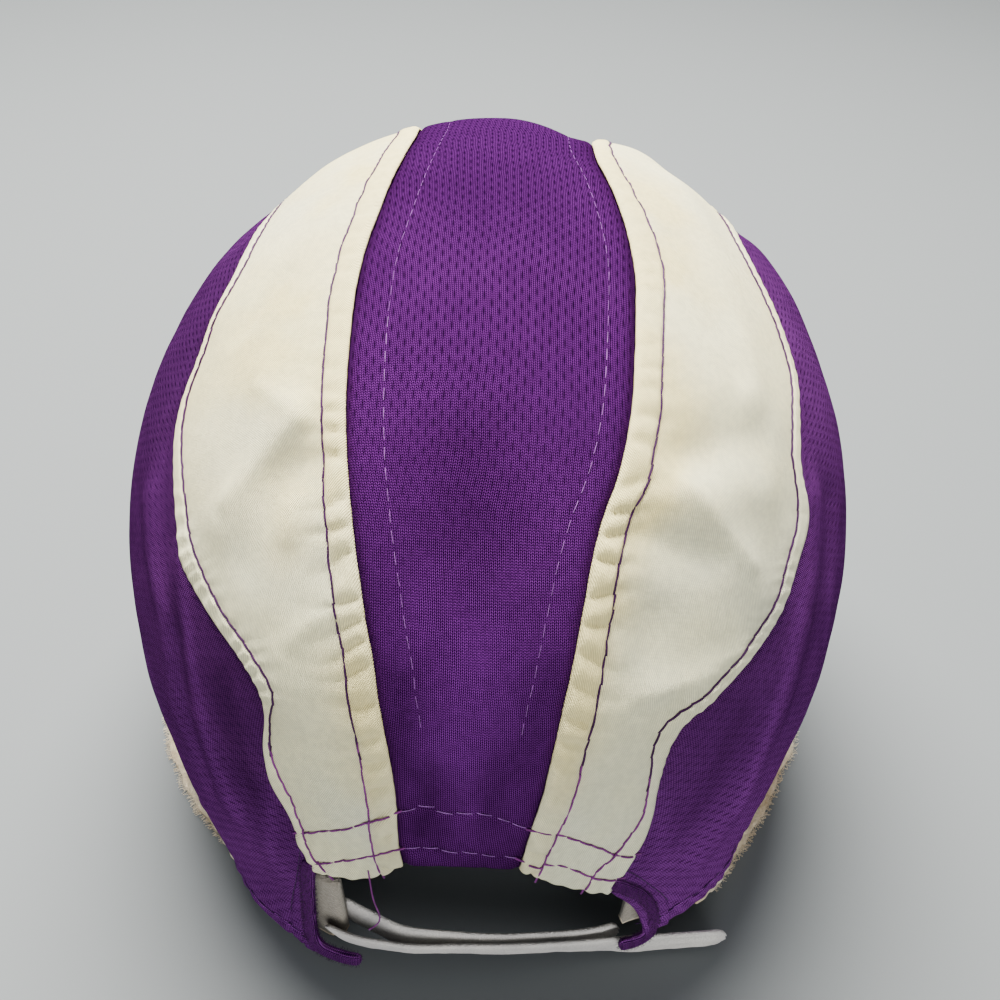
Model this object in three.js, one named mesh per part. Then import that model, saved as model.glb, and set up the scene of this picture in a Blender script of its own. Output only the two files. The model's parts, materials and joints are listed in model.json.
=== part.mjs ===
import * as THREE from 'three';

// Running cap at rest on its rim and the corners of its peak, millimetres, +Z up.
// The peak points to -Y, so +X is the wearer's left.
const CROWN_WIDTH = 168;
const REAR_REACH = 98.8;
const FRONT_REACH = 102.2;
const DOME_RISE = 92.4;
const DOME_DROP = 129.6;
const SHOULDER = 2.1;
const FORM_UP = 60;
const FORM_BACK = 31.85;
const WALL = 1.2;
const SEAM_GAP = 0.4;
const BAND_RAISE = 0.45;
const WHITE_PUFF = 0.9;
const CENTRE_PUFF = 0.5;
const STATIONS = 42;
const SWEATBAND_TOP = -31;
const SWEATBAND_THICK = 2.2;
const SWEATBAND_CLEAR = 2;
const SWEATBAND_TUCK = 2.2;
const FRONT_HEM = -50.2;
const PEAK_CLEAR = 0.8;
const PEAK_REACH = 134;
const PEAK_HALF_WIDTH = 72;
const PEAK_ROOT = -29;
const PEAK_THICK = 2.6;
const STRAP_WIDTH = 8.8;
const STRAP_THICK = 1.5;

const PURPLE = 0x5b2383;
const CREAM = 0xe6e0cc;
const STAINED = 0xd8cba2;
const STRAP_WHITE = 0xdcdcd4;

// Seams by station from the rear hem over the top to the front hem. Turn is the angle about the
// ear-to-ear axis from the rear, side is the angle towards the ear, rim is the bearing of the
// side panel's lower edge from the rear. All in degrees.
const SEAM_COLUMNS = ['innerTurn', 'innerSide', 'outerTurn', 'outerSide', 'rim'];
const LEFT_SEAMS = [
  [-5.5, 6.4, -12.4, 17.2, 20],
  [-2, 6.9, -8.4, 18.9, 21.6],
  [2, 7.1, -4, 20, 23.8],
  [7, 7.5, 1, 22.2, 26.4],
  [12, 8.3, 6, 23.3, 29],
  [17.4, 9.4, 11.3, 22.8, 32],
  [21.8, 10.1, 14.5, 23.4, 35],
  [25.5, 11, 17.6, 26.1, 38.5],
  [29.4, 11.8, 20.8, 30, 42.5],
  [33.4, 12.7, 24.6, 34.2, 47],
  [38, 13.6, 30.6, 38.2, 52],
  [43.5, 14.6, 38, 40.6, 58],
  [50, 15.4, 46, 42.3, 64],
  [56.5, 15.9, 53.5, 42.3, 70],
  [63, 16.2, 61.5, 40, 76],
  [70.5, 16.1, 71, 37.8, 83],
  [79, 15.3, 81, 36.2, 90],
  [88, 14.6, 91, 35.4, 97],
  [98, 13.8, 101, 34.8, 103],
  [110, 13.3, 113, 34, 109],
  [125, 13.4, 127, 33, 115],
  [142, 13.9, 143, 31.8, 121],
  [160, 14.5, 160, 30.2, 127],
  [178, 15, 178, 28.6, 132],
  [195, 15.3, 197, 27.2, 136],
  [208.6, 15.4, 213, 26.4, 139],
];
const RIGHT_SEAMS = [
  [-4.8, 6.8, -13.2, 17.4, 25.5],
  [-1.6, 7.3, -9.6, 19, 26.8],
  [1.8, 7.9, -5.4, 21, 28.4],
  [6.5, 8.8, -0.6, 21.9, 30.2],
  [11.6, 9.5, 5, 22.1, 32.2],
  [17, 10.2, 10.4, 23, 34],
  [21.6, 10.9, 13.8, 25, 37],
  [25.6, 11.4, 15.8, 28.4, 40.5],
  [29.5, 11.9, 18.4, 32.2, 44.5],
  [33.4, 12.4, 21.8, 36.2, 49],
  [38, 13.4, 27, 40.2, 54],
  [43.5, 15.1, 33, 42.4, 59],
  [50, 16.2, 41, 44.2, 65],
  [56.5, 16.6, 49.5, 42.9, 71],
  [63, 16.8, 58.5, 43.1, 77],
  [70.5, 16.8, 68, 43.1, 83],
  [79, 15.8, 78.5, 40, 90],
  [88, 14.2, 89.5, 36, 97],
  [98, 12.2, 101, 33.6, 103],
  [110, 11.8, 113, 33.2, 109],
  [125, 12.6, 127, 32.8, 115],
  [142, 13.6, 143, 31.8, 121],
  [160, 14.4, 160, 30.2, 127],
  [178, 15, 178, 28.6, 132],
  [195, 15.3, 197, 27.2, 136],
  [208.6, 15.4, 213, 26.4, 139],
];

// Height of the lower edge of the side panels below the form's centre, by bearing from the rear.
const RIM_COLUMNS = ['bearing', 'left', 'right'];
const RIM_HEIGHTS = [
  [14, -54.6, -44],
  [22, -56.8, -45.4],
  [30, -57.6, -47.4],
  [38, -57.4, -49.2],
  [45, -56.8, -51.4],
  [52, -56.2, -53.4],
  [60, -56, -54.8],
  [75, -56, -56],
  [90, -56, -56],
  [110, -54, -54],
  [125, -52, -52],
  [140, -50, -50],
];

// Folds, ridges and dents as short lines on the form: from and to in turn and side degrees,
// width and height in millimetres, a minus height sinks.
const RELIEF_COLUMNS = ['turnA', 'sideA', 'turnB', 'sideB', 'width', 'height'];
const RELIEF = [
  [98, 38, 112, 33, 8, -1.6],
  [114, -26, 110, -34, 8, -1.4],
  [110, -40, 100, -46, 8, 1],
  [115, 13, 116, 1, 9, 1],
  [110, -9, 121, -9, 6, -1.1],
  [112, -18, 116, -18, 6, 0.8],
  [-33, 50, -40, 38, 11, -2.2],
  [-33, -54, -40, -46, 11, -2.8],
  [-32, 13, -36, 24, 9, 1.8],
  [-28, -19, -40, -34, 10, 1.4],
  [37, 49, 17, 42, 5, 1.3],
  [17, 42, -2, 41, 5, 1.2],
  [28, 38, 9, 36, 4.5, 1],
  [9, 36, -11, 31, 4.5, 1.3],
  [16, 39, -10, 36, 4, -1],
  [1, 24, -20, 23, 4, 0.8],
  [44, -46, 11, -44, 5, 1.3],
  [11, -44, -6, -39, 5, 1.4],
  [-6, -39, -18, -32, 5, 1.2],
  [45, -54, 12, -53, 6, -1.3],
  [8, -36, -12, -28, 6, -0.7],
  [78, 24, 67, 35, 7, 0.6],
  [53, 26, 48, 21, 6, 0.4],
  [48, 21, 35, 30, 6, 0.8],
  [42, 20, 41, 22, 7, -1],
  [37, 19, 15, 21, 6, 0.5],
  [99, -23, 58, -32, 5, 0.7],
  [50, -27, 46, -24, 6, -0.9],
  [41, -21, 44, -34, 6, 0.6],
  [42, -23, 30, -35, 6, 0.5],
  [38, -17, 35, -23, 7, -0.9],
  [27, -19, 26, -20, 7, -0.8],
  [18, -18, 18, -26, 5, 0.9],
];

// Lower edge of the sweatband and the lip that shows below the hem, by bearing from the rear.
const BAND_COLUMNS = ['bearing', 'bottom', 'lip'];
const BAND_ROWS = [
  [14, -56, 0],
  [36, -57.4, 0],
  [43, -59.4, 0],
  [50, -60, 1],
  [57, -60, 2.6],
  [64, -60, 4.8],
  [73, -60, 7],
  [81, -60, 8.4],
  [90, -60, 7.4],
  [100, -60, 4],
  [109, -58, 0],
  [180, -54, 0],
  [251, -58, 0],
  [260, -60, 4],
  [270, -60, 8],
  [278, -60, 7.8],
  [286, -60, 5],
  [294, -60, 3.2],
  [302, -60, 1.9],
  [310, -59.8, 1.2],
  [316, -57.4, 0.4],
  [323, -50.4, 0],
  [330, -48.6, 0],
  [336.5, -46, 0],
];

// Closure strap layers across the rear opening, from the wearer's left to the right.
const STRAP_COLUMNS = ['x', 'y', 'top', 'lean'];
const OUTER_STRAP = [
  [29.5, 84.4, -43.4, 0.16],
  [25, 87.2, -43.6, 0.16],
  [19, 89.7, -43.8, 0.16],
  [10, 90.8, -44.1, 0.16],
  [1, 89.7, -44.4, 0.16],
  [-9, 88.4, -45, 0.16],
  [-18, 86.6, -46, 0.16],
  [-26, 84.4, -47.4, 0.2],
  [-33, 82.2, -48.8, 0.3],
  [-38, 80.8, -49.6, 0.4],
  [-43, 79.9, -50, 0.5],
  [-51, 78.8, -49.6, 0.6],
  [-59, 77.4, -49.4, 0.6],
];
const INNER_STRAP = [
  [27, 80.4, -42.4, 0.2],
  [20, 83.6, -42.8, 0.18],
  [12, 86.8, -43.2, 0.18],
  [2, 87, -43.8, 0.18],
  [-8, 86.2, -44.8, 0.18],
  [-17, 84.4, -45.8, 0.18],
  [-25, 82.2, -47, 0.18],
  [-31, 80, -48, 0.18],
  [-35, 77.8, -48.6, 0.18],
];

const rad = (degrees) => degrees * Math.PI / 180;
const mix = (a, b, t) => a + (b - a) * t;
const clamp = (value, low, high) => Math.min(high, Math.max(low, value));

function smooth(value, low, high) {
  const t = clamp((value - low) / (high - low), 0, 1);
  return t * t * (3 - 2 * t);
}

// Value of one column at a fractional row, through a smooth curve.
function curveAt(rows, column, at) {
  const last = rows.length - 1;
  const i = clamp(Math.floor(at), 0, last - 1);
  const t = at - i;
  const p1 = rows[i][column];
  const p2 = rows[i + 1][column];
  const p0 = i > 0 ? rows[i - 1][column] : 2 * p1 - p2;
  const p3 = i < last - 1 ? rows[i + 2][column] : 2 * p2 - p1;
  const a = -p0 + 3 * p1 - 3 * p2 + p3;
  const b = 2 * p0 - 5 * p1 + 4 * p2 - p3;
  return 0.5 * (2 * p1 + (p2 - p0) * t + b * t * t + a * t * t * t);
}

function rowAt(rows, names, at) {
  const row = {};
  names.forEach((name, column) => {
    row[name] = curveAt(rows, column, at);
  });
  return row;
}

// Value of one column where the first column has a given value, straight between rows.
function lookUp(rows, column, key) {
  for (let i = 0; i < rows.length - 1; i += 1) {
    if (key <= rows[i + 1][0]) {
      const t = clamp((key - rows[i][0]) / (rows[i + 1][0] - rows[i][0]), 0, 1);
      return mix(rows[i][column], rows[i + 1][column], t * t * (3 - 2 * t));
    }
  }
  return rows[rows.length - 1][column];
}

function directionAt(turn, side) {
  const t = rad(turn);
  const s = rad(side);
  return new THREE.Vector3(Math.sin(s), Math.cos(s) * Math.cos(t), Math.cos(s) * Math.sin(t));
}

const reliefLines = RELIEF.map((row) => ({
  a: directionAt(row[0], row[1]).multiplyScalar(95),
  b: directionAt(row[2], row[3]).multiplyScalar(95),
  width: row[4],
  height: row[5],
}));

function reliefAt(direction) {
  const point = direction.clone().multiplyScalar(95);
  let sum = 0;
  for (const line of reliefLines) {
    const along = line.b.clone().sub(line.a);
    const t = clamp(point.clone().sub(line.a).dot(along) / Math.max(along.lengthSq(), 1), 0, 1);
    const away = point.distanceTo(line.a.clone().addScaledVector(along, t)) / line.width;
    sum += line.height * Math.exp(-away * away);
  }
  return sum;
}

// Distance from the form's centre to the outside of the cloth along a direction.
function formRadius(direction) {
  const d = direction;
  const flat = Math.hypot(
    d.x / (CROWN_WIDTH / 2),
    d.y / (d.y > 0 ? REAR_REACH : FRONT_REACH),
  );
  const tall = Math.abs(d.z) / (d.z > 0 ? DOME_RISE : DOME_DROP);
  const size = (flat ** SHOULDER + tall ** SHOULDER) ** (1 / SHOULDER);
  return 1 / size + reliefAt(d);
}

function formPoint(direction) {
  return direction.clone().multiplyScalar(formRadius(direction));
}

// Outward normal of the form, from how the level of the form changes about the point.
function formNormal(direction) {
  const point = formPoint(direction);
  const step = 1.5;
  const level = (offset) => {
    const p = point.clone().add(offset);
    const r = p.length();
    return r - formRadius(p.divideScalar(r));
  };
  const slope = ['setX', 'setY', 'setZ'].map((axis) => {
    const ahead = new THREE.Vector3()[axis](step);
    const behind = new THREE.Vector3()[axis](-step);
    return level(ahead) - level(behind);
  });
  return new THREE.Vector3(...slope).normalize();
}

// Direction of the point of the form at a bearing from the rear and a height.
function rimDirection(bearing, height) {
  const b = rad(bearing);
  let low = 20;
  let high = 160;
  for (let i = 0; i < 40; i += 1) {
    const m = (low + high) / 2;
    const p = new THREE.Vector3(m * Math.sin(b), m * Math.cos(b), height);
    const r = p.length();
    if (r < formRadius(p.divideScalar(r))) {
      low = m;
    } else {
      high = m;
    }
  }
  return new THREE.Vector3(low * Math.sin(b), low * Math.cos(b), height).normalize();
}

function rimReach(bearing, height) {
  const p = formPoint(rimDirection(bearing, height));
  return Math.hypot(p.x, p.y);
}

function arcBetween(a, b, t) {
  const angle = a.angleTo(b);
  if (angle < 1e-6) {
    return a.clone();
  }
  const share = Math.sin((1 - t) * angle) / Math.sin(angle);
  const rest = Math.sin(t * angle) / Math.sin(angle);
  return a.clone().multiplyScalar(share).addScaledVector(b, rest).normalize();
}

// Closed solid between two grids of points with the same rows and columns.
function shellSolid(outer, inner) {
  const rows = outer.length;
  const columns = outer[0].length;
  const position = [];
  [outer, inner].forEach((grid) => grid.forEach((row) => row.forEach((p) => {
    position.push(p.x, p.y + FORM_BACK, p.z + FORM_UP);
  })));
  const at = (layer, i, j) => layer * rows * columns + i * columns + j;
  const index = [];
  const quad = (a, b, c, d) => index.push(a, b, c, a, c, d);
  for (let i = 0; i < rows - 1; i += 1) {
    for (let j = 0; j < columns - 1; j += 1) {
      quad(at(0, i, j), at(0, i + 1, j), at(0, i + 1, j + 1), at(0, i, j + 1));
      quad(at(1, i, j), at(1, i, j + 1), at(1, i + 1, j + 1), at(1, i + 1, j));
    }
  }
  for (let i = 0; i < rows - 1; i += 1) {
    const j = columns - 1;
    quad(at(0, i, 0), at(1, i, 0), at(1, i + 1, 0), at(0, i + 1, 0));
    quad(at(0, i, j), at(0, i + 1, j), at(1, i + 1, j), at(1, i, j));
  }
  for (let j = 0; j < columns - 1; j += 1) {
    const i = rows - 1;
    quad(at(0, 0, j), at(0, 0, j + 1), at(1, 0, j + 1), at(1, 0, j));
    quad(at(0, i, j), at(1, i, j), at(1, i, j + 1), at(0, i, j + 1));
  }
  if (volumeOf(position, index) < 0) {
    index.reverse();
  }
  const geometry = new THREE.BufferGeometry();
  geometry.setAttribute('position', new THREE.Float32BufferAttribute(position, 3));
  geometry.setIndex(index);
  return geometry;
}

function volumeOf(position, index) {
  let sum = 0;
  const corner = (k) => new THREE.Vector3().fromArray(position, 3 * index[k]);
  for (let k = 0; k < index.length; k += 3) {
    sum += corner(k).dot(corner(k + 1).cross(corner(k + 2)));
  }
  return sum;
}

// Crown cloth over a grid of directions, raised by a function of row and column.
function clothPanel(directions, raise) {
  const outer = [];
  const inner = [];
  directions.forEach((row, i) => {
    const last = row.length - 1;
    const points = row.map(formPoint);
    const normals = row.map(formNormal);
    const inset = (j) => {
      const next = j === 0 ? 1 : last - 1;
      const inward = points[next].clone().sub(points[j]).normalize();
      return inward.multiplyScalar(SEAM_GAP / 2);
    };
    const shifts = points.map((p, j) => (j === 0 || j === last ? inset(j) : new THREE.Vector3()));
    outer.push(points.map((p, j) => p.clone().add(shifts[j]).addScaledVector(normals[j], raise(i, j))));
    inner.push(points.map((p, j) => p.clone().add(shifts[j]).addScaledVector(normals[j], -WALL)));
  });
  return shellSolid(outer, inner);
}

function stationRow(seams, i) {
  return rowAt(seams, SEAM_COLUMNS, i / STATIONS * (seams.length - 1));
}

const stationList = Array.from({ length: STATIONS + 1 }, (unused, i) => i);

function centrePanel() {
  const across = 8;
  const grid = stationList.map((i) => {
    const left = stationRow(LEFT_SEAMS, i);
    const right = stationRow(RIGHT_SEAMS, i);
    return Array.from({ length: across + 1 }, (unused, j) => {
      const t = j / across;
      const rearLift = 1.2 * (1 - smooth(i, 0, 3));
      const frontLift = 1.8 * smooth(i, STATIONS - 3, STATIONS);
      const lift = (rearLift - frontLift) * Math.sin(Math.PI * t);
      const turn = mix(left.innerTurn, right.innerTurn, t) + lift;
      return directionAt(turn, mix(left.innerSide, -right.innerSide, t));
    });
  });
  return clothPanel(grid, (i, j) => CENTRE_PUFF * Math.sin(Math.PI * j / across));
}

// White panel with the stitched-down bands along its seams standing proud.
function whitePanel(seams, sign, hemBow) {
  const stops = [0, 0.14, 0.24, 0.38, 0.52, 0.66, 0.8, 0.91, 1];
  const grid = stationList.map((i) => {
    const row = stationRow(seams, i);
    return stops.map((t) => {
      const bow = hemBow * Math.sin(Math.PI * t) * (1 - smooth(i, 0, 3));
      const turn = mix(row.innerTurn, row.outerTurn, t) - bow;
      return directionAt(turn, sign * mix(row.innerSide, row.outerSide, t));
    });
  });
  const raise = (i, j) => {
    const band = j < 2 || j > stops.length - 2 ? BAND_RAISE : 0;
    return band + WHITE_PUFF * Math.sin(Math.PI * stops[j]) * smooth(i, 0, 6);
  };
  return clothPanel(grid, raise);
}

// Lower side panel from the outer seam to the hem, its rear end hooked in as a tab.
function sidePanel(seams, sign, rimColumn, hook, bulge) {
  const stops = [0, 0.1, 0.2, 0.3, 0.4, 0.5, 0.6, 0.7, 0.8, 0.87, 0.93, 1];
  const grid = stationList.map((i) => {
    const row = stationRow(seams, i);
    const height = lookUp(RIM_HEIGHTS, rimColumn, row.rim);
    const top = directionAt(row.outerTurn, sign * row.outerSide);
    const bottom = rimDirection(sign * row.rim, height);
    return stops.map((t) => {
      const tip = hook * (1 - smooth(i, 0, 1.1)) * smooth(t, 0.87, 0.93);
      const bowed = bulge * (1 - smooth(i, 0, 2.4)) * Math.sin(Math.PI * Math.min(t / 0.87, 1));
      const point = arcBetween(top, bottom, t);
      return point.applyAxisAngle(new THREE.Vector3(0, 0, 1), rad(sign * (tip - bowed)));
    });
  });
  return clothPanel(grid, () => 0);
}

// Band inside the crown, its lip showing below the side hems.
function sweatband() {
  const outer = [];
  const inner = [];
  const first = BAND_ROWS[0][0];
  const last = BAND_ROWS[BAND_ROWS.length - 1][0];
  const steps = 60;
  for (let i = 0; i <= steps; i += 1) {
    const bearing = mix(first, last, i / steps);
    const folded = bearing > 180 ? 360 - bearing : bearing;
    const rim = lookUp(RIM_HEIGHTS, bearing > 180 ? 2 : 1, folded);
    const frontRim = mix(rim, FRONT_HEM, smooth(folded, 130, 150));
    const bottom = lookUp(BAND_ROWS, 1, bearing);
    const lip = lookUp(BAND_ROWS, 2, bearing);
    const hem = Math.max(bottom + 0.9, frontRim - 0.8);
    const levels = [
      [SWEATBAND_TOP, 0],
      [mix(SWEATBAND_TOP, hem, 0.55), 0],
      [hem, 0],
      [mix(hem, bottom, 0.25), lip * 0.6],
      [mix(hem, bottom, 0.6), lip],
      [bottom, lip * 0.9],
    ];
    const tuck = SWEATBAND_CLEAR + SWEATBAND_TUCK * (1 - smooth(folded, 24, 40));
    const column = (height, away) => {
      const reach = rimReach(bearing, Math.max(height, frontRim)) - tuck + away;
      const b = rad(bearing);
      return new THREE.Vector3(reach * Math.sin(b), reach * Math.cos(b), height);
    };
    outer.push(levels.map(([height, away]) => column(height, away)));
    inner.push(levels.map(([height]) => column(height, -SWEATBAND_THICK)));
  }
  return shellSolid(outer, inner);
}

// Peak from the front hem outward, bowed so that its corners reach the floor.
function peak() {
  const wide = 26;
  const deep = 7;
  const top = [];
  const under = [];
  for (let i = 0; i <= wide; i += 1) {
    const bearing = mix(109, 251, i / wide);
    const angle = mix(rad(2), Math.PI - rad(2), i / wide);
    const c = Math.cos(angle);
    const edgeX = PEAK_HALF_WIDTH * Math.sign(c) * Math.abs(c) ** 0.78;
    const edgeY = PEAK_ROOT - PEAK_REACH * Math.sin(angle) ** 0.82;
    const folded = bearing > 180 ? 360 - bearing : bearing;
    const hem = mix(lookUp(RIM_HEIGHTS, 1, folded), FRONT_HEM, smooth(folded, 130, 150));
    const rootZ = hem - PEAK_CLEAR;
    const reach = rimReach(bearing, rootZ) - 0.6;
    const root = new THREE.Vector3(reach * Math.sin(rad(bearing)), reach * Math.cos(rad(bearing)), rootZ);
    const droop = Math.min(1, Math.abs(edgeX) / 60) ** 2;
    const edge = new THREE.Vector3(edgeX, edgeY, mix(-50.5, -57.4, droop));
    const topRow = [];
    const underRow = [];
    for (let j = 0; j <= deep; j += 1) {
      const t = j / deep;
      const p = root.clone().lerp(edge, t);
      p.z += 2.2 * Math.sin(Math.PI * t) * Math.sin(angle) ** 2;
      topRow.push(p);
      underRow.push(new THREE.Vector3(p.x, p.y, Math.max(p.z - PEAK_THICK, -FORM_UP)));
    }
    top.push(topRow);
    under.push(underRow);
  }
  return shellSolid(top, under);
}

// Flat strap standing on edge along its path.
function strapLayer(rows) {
  const steps = 16;
  const outer = [];
  const inner = [];
  for (let i = 0; i <= steps; i += 1) {
    const at = i / steps * (rows.length - 1);
    const row = rowAt(rows, STRAP_COLUMNS, at);
    const ahead = rowAt(rows, STRAP_COLUMNS, Math.min(at + 0.1, rows.length - 1));
    const behind = rowAt(rows, STRAP_COLUMNS, Math.max(at - 0.1, 0));
    const along = new THREE.Vector3(ahead.x - behind.x, ahead.y - behind.y, 0).normalize();
    const out = new THREE.Vector3(along.y, -along.x, 0);
    const outerRow = [];
    const innerRow = [];
    for (let j = 0; j <= 3; j += 1) {
      const fall = j / 3 * STRAP_WIDTH;
      const p = new THREE.Vector3(row.x, row.y, row.top - fall);
      p.addScaledVector(out, -row.lean * fall);
      outerRow.push(p.clone().addScaledVector(out, STRAP_THICK / 2));
      innerRow.push(p.clone().addScaledVector(out, -STRAP_THICK / 2));
    }
    outer.push(outerRow);
    inner.push(innerRow);
  }
  return shellSolid(outer, inner);
}

function buildCap() {
  const cap = new THREE.Group();
  cap.name = 'running_cap';
  const add = (name, geometry, color, roughness) => {
    const material = new THREE.MeshStandardMaterial({ color, roughness, metalness: 0 });
    const mesh = new THREE.Mesh(geometry, material);
    mesh.name = name;
    cap.add(mesh);
  };
  add('centre_panel', centrePanel(), PURPLE, 0.6);
  add('white_panel_left', whitePanel(LEFT_SEAMS, 1, 1.6), CREAM, 0.85);
  add('white_panel_right', whitePanel(RIGHT_SEAMS, -1, 0.5), CREAM, 0.85);
  add('side_panel_left', sidePanel(LEFT_SEAMS, 1, 1, 7.6, 0.3), PURPLE, 0.7);
  add('side_panel_right', sidePanel(RIGHT_SEAMS, -1, 2, 4.4, 1.4), PURPLE, 0.7);
  add('sweatband', sweatband(), STAINED, 0.95);
  add('peak', peak(), CREAM, 0.85);
  add('closure_strap_outer', strapLayer(OUTER_STRAP), STRAP_WHITE, 0.9);
  add('closure_strap_inner', strapLayer(INNER_STRAP), STRAP_WHITE, 0.9);
  return cap;
}

export default buildCap();
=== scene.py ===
import json
import math

import bpy
import numpy as np
from mathutils import Matrix, Vector

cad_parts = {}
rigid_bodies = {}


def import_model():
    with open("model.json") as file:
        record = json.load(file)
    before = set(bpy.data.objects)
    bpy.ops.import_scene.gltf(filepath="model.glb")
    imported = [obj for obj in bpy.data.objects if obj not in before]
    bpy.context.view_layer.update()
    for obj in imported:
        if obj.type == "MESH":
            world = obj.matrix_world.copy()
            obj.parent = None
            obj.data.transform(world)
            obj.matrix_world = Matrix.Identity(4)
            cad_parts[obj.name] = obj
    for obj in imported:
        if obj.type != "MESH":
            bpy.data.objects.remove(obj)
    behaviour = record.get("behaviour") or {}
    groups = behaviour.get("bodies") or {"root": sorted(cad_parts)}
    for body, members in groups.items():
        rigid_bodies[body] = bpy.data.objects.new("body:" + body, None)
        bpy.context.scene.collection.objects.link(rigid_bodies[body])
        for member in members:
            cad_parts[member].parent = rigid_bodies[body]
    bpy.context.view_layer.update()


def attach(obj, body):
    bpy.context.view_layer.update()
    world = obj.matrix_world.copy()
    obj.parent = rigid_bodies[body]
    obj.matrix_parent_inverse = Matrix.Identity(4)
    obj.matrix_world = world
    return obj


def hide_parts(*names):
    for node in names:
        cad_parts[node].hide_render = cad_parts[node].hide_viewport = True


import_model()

# Sizes are in millimetres about the middle of the crown and become metres when a mesh is made.
# The peak points to -Y, so +X is the wearer's left. Turn is the angle about the ear-to-ear
# axis from the rear, side is the angle towards the ear, both in degrees.
crownForm = {
    "halfWidth": 84.0,
    "rearReach": 98.8,
    "frontReach": 102.2,
    "rise": 92.4,
    "drop": 129.6,
    "shoulder": 2.1,
    "up": 60.0,
    "back": 31.85,
    "foldSphere": 95.0,
}

# from the rear hem over the top to the front hem: innerTurn, innerSide, outerTurn, outerSide, rim
# the last stations of the seams, alike on both sides
frontSeams = [
    (178, 15, 178, 28.6, 132),
    (195, 15.3, 197, 27.2, 136),
    (208.6, 15.4, 213, 26.4, 139),
]
leftSeams = [
    (-5.5, 6.4, -12.4, 17.2, 20),
    (-2, 6.9, -8.4, 18.9, 21.6),
    (2, 7.1, -4, 20, 23.8),
    (7, 7.5, 1, 22.2, 26.4),
    (12, 8.3, 6, 23.3, 29),
    (17.4, 9.4, 11.3, 22.8, 32),
    (21.8, 10.1, 14.5, 23.4, 35),
    (25.5, 11, 17.6, 26.1, 38.5),
    (29.4, 11.8, 20.8, 30, 42.5),
    (33.4, 12.7, 24.6, 34.2, 47),
    (38, 13.6, 30.6, 38.2, 52),
    (43.5, 14.6, 38, 40.6, 58),
    (50, 15.4, 46, 42.3, 64),
    (56.5, 15.9, 53.5, 42.3, 70),
    (63, 16.2, 61.5, 40, 76),
    (70.5, 16.1, 71, 37.8, 83),
    (79, 15.3, 81, 36.2, 90),
    (88, 14.6, 91, 35.4, 97),
    (98, 13.8, 101, 34.8, 103),
    (110, 13.3, 113, 34, 109),
    (125, 13.4, 127, 33, 115),
    (142, 13.9, 143, 31.8, 121),
    (160, 14.5, 160, 30.2, 127),
] + frontSeams
rightSeams = [
    (-4.8, 6.8, -13.2, 17.4, 25.5),
    (-1.6, 7.3, -9.6, 19, 26.8),
    (1.8, 7.9, -5.4, 21, 28.4),
    (6.5, 8.8, -0.6, 21.9, 30.2),
    (11.6, 9.5, 5, 22.1, 32.2),
    (17, 10.2, 10.4, 23, 34),
    (21.6, 10.9, 13.8, 25, 37),
    (25.6, 11.4, 15.8, 28.4, 40.5),
    (29.5, 11.9, 18.4, 32.2, 44.5),
    (33.4, 12.4, 21.8, 36.2, 49),
    (38, 13.4, 27, 40.2, 54),
    (43.5, 15.1, 33, 42.4, 59),
    (50, 16.2, 41, 44.2, 65),
    (56.5, 16.6, 49.5, 42.9, 71),
    (63, 16.8, 58.5, 43.1, 77),
    (70.5, 16.8, 68, 43.1, 83),
    (79, 15.8, 78.5, 40, 90),
    (88, 14.2, 89.5, 36, 97),
    (98, 12.2, 101, 33.6, 103),
    (110, 11.8, 113, 33.2, 109),
    (125, 12.6, 127, 32.8, 115),
    (142, 13.6, 143, 31.8, 121),
    (160, 14.4, 160, 30.2, 127),
] + frontSeams

# height of the lower edge of the side panels: bearing from the rear, left, right
rimHeights = [
    (14, -54.6, -44),
    (22, -56.8, -45.4),
    (30, -57.6, -47.4),
    (38, -57.4, -49.2),
    (45, -56.8, -51.4),
    (52, -56.2, -53.4),
    (60, -56, -54.8),
    (75, -56, -56),
    (90, -56, -56),
    (110, -54, -54),
    (125, -52, -52),
    (140, -50, -50),
]

# folds and dents: from turn, side, to turn, side, width, height
mainFolds = [
    (98, 38, 112, 33, 8, -1.6),
    (114, -26, 110, -34, 8, -1.4),
    (110, -40, 100, -46, 8, 1),
    (115, 13, 116, 1, 9, 1),
    (110, -9, 121, -9, 6, -1.1),
    (112, -18, 116, -18, 6, 0.8),
    (-33, 50, -40, 38, 11, -2.2),
    (-33, -54, -40, -46, 11, -2.8),
    (-32, 13, -36, 24, 9, 1.8),
    (-28, -19, -40, -34, 10, 1.4),
    (37, 49, 17, 42, 5, 1.3),
    (10.5, 41.7, -2, 41, 5, 1.2),
    (28, 38, 9, 36, 4.5, 1),
    (3.5, 34.7, -11, 31, 4.5, 1.3),
    (16, 39, -10, 36, 4, -1),
    (1, 24, -20, 23, 4, 0.8),
    (44, -46, 11, -44, 5, 1.3),
    (5, -42.2, -6, -39, 5, 1.3),
    (-11, -36, -18, -32, 5, 1.2),
    (45, -54, 12, -53, 6, -1.3),
    (8, -36, -12, -28, 6, -0.7),
    (78, 24, 67, 35, 7, 1),
    (53, 26, 48, 21, 6, 0.7),
    (48, 21, 35, 30, 5, 1.2),
    (42, 20, 41, 22, 6, -0.9),
    (37, 19, 15, 21, 5, 0.8),
    (99, -23, 58, -32, 5, 1),
    (50, -27, 46, -24, 6, -0.8),
    (41, -21, 44, -34, 5, 1),
    (42, -23, 30, -35, 5, 0.9),
    (38, -17, 35, -23, 6, -0.7),
    (27, -19, 26, -20, 7, -1.1),
    (18, -18, 18, -26, 5, 1.2),
]

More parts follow.
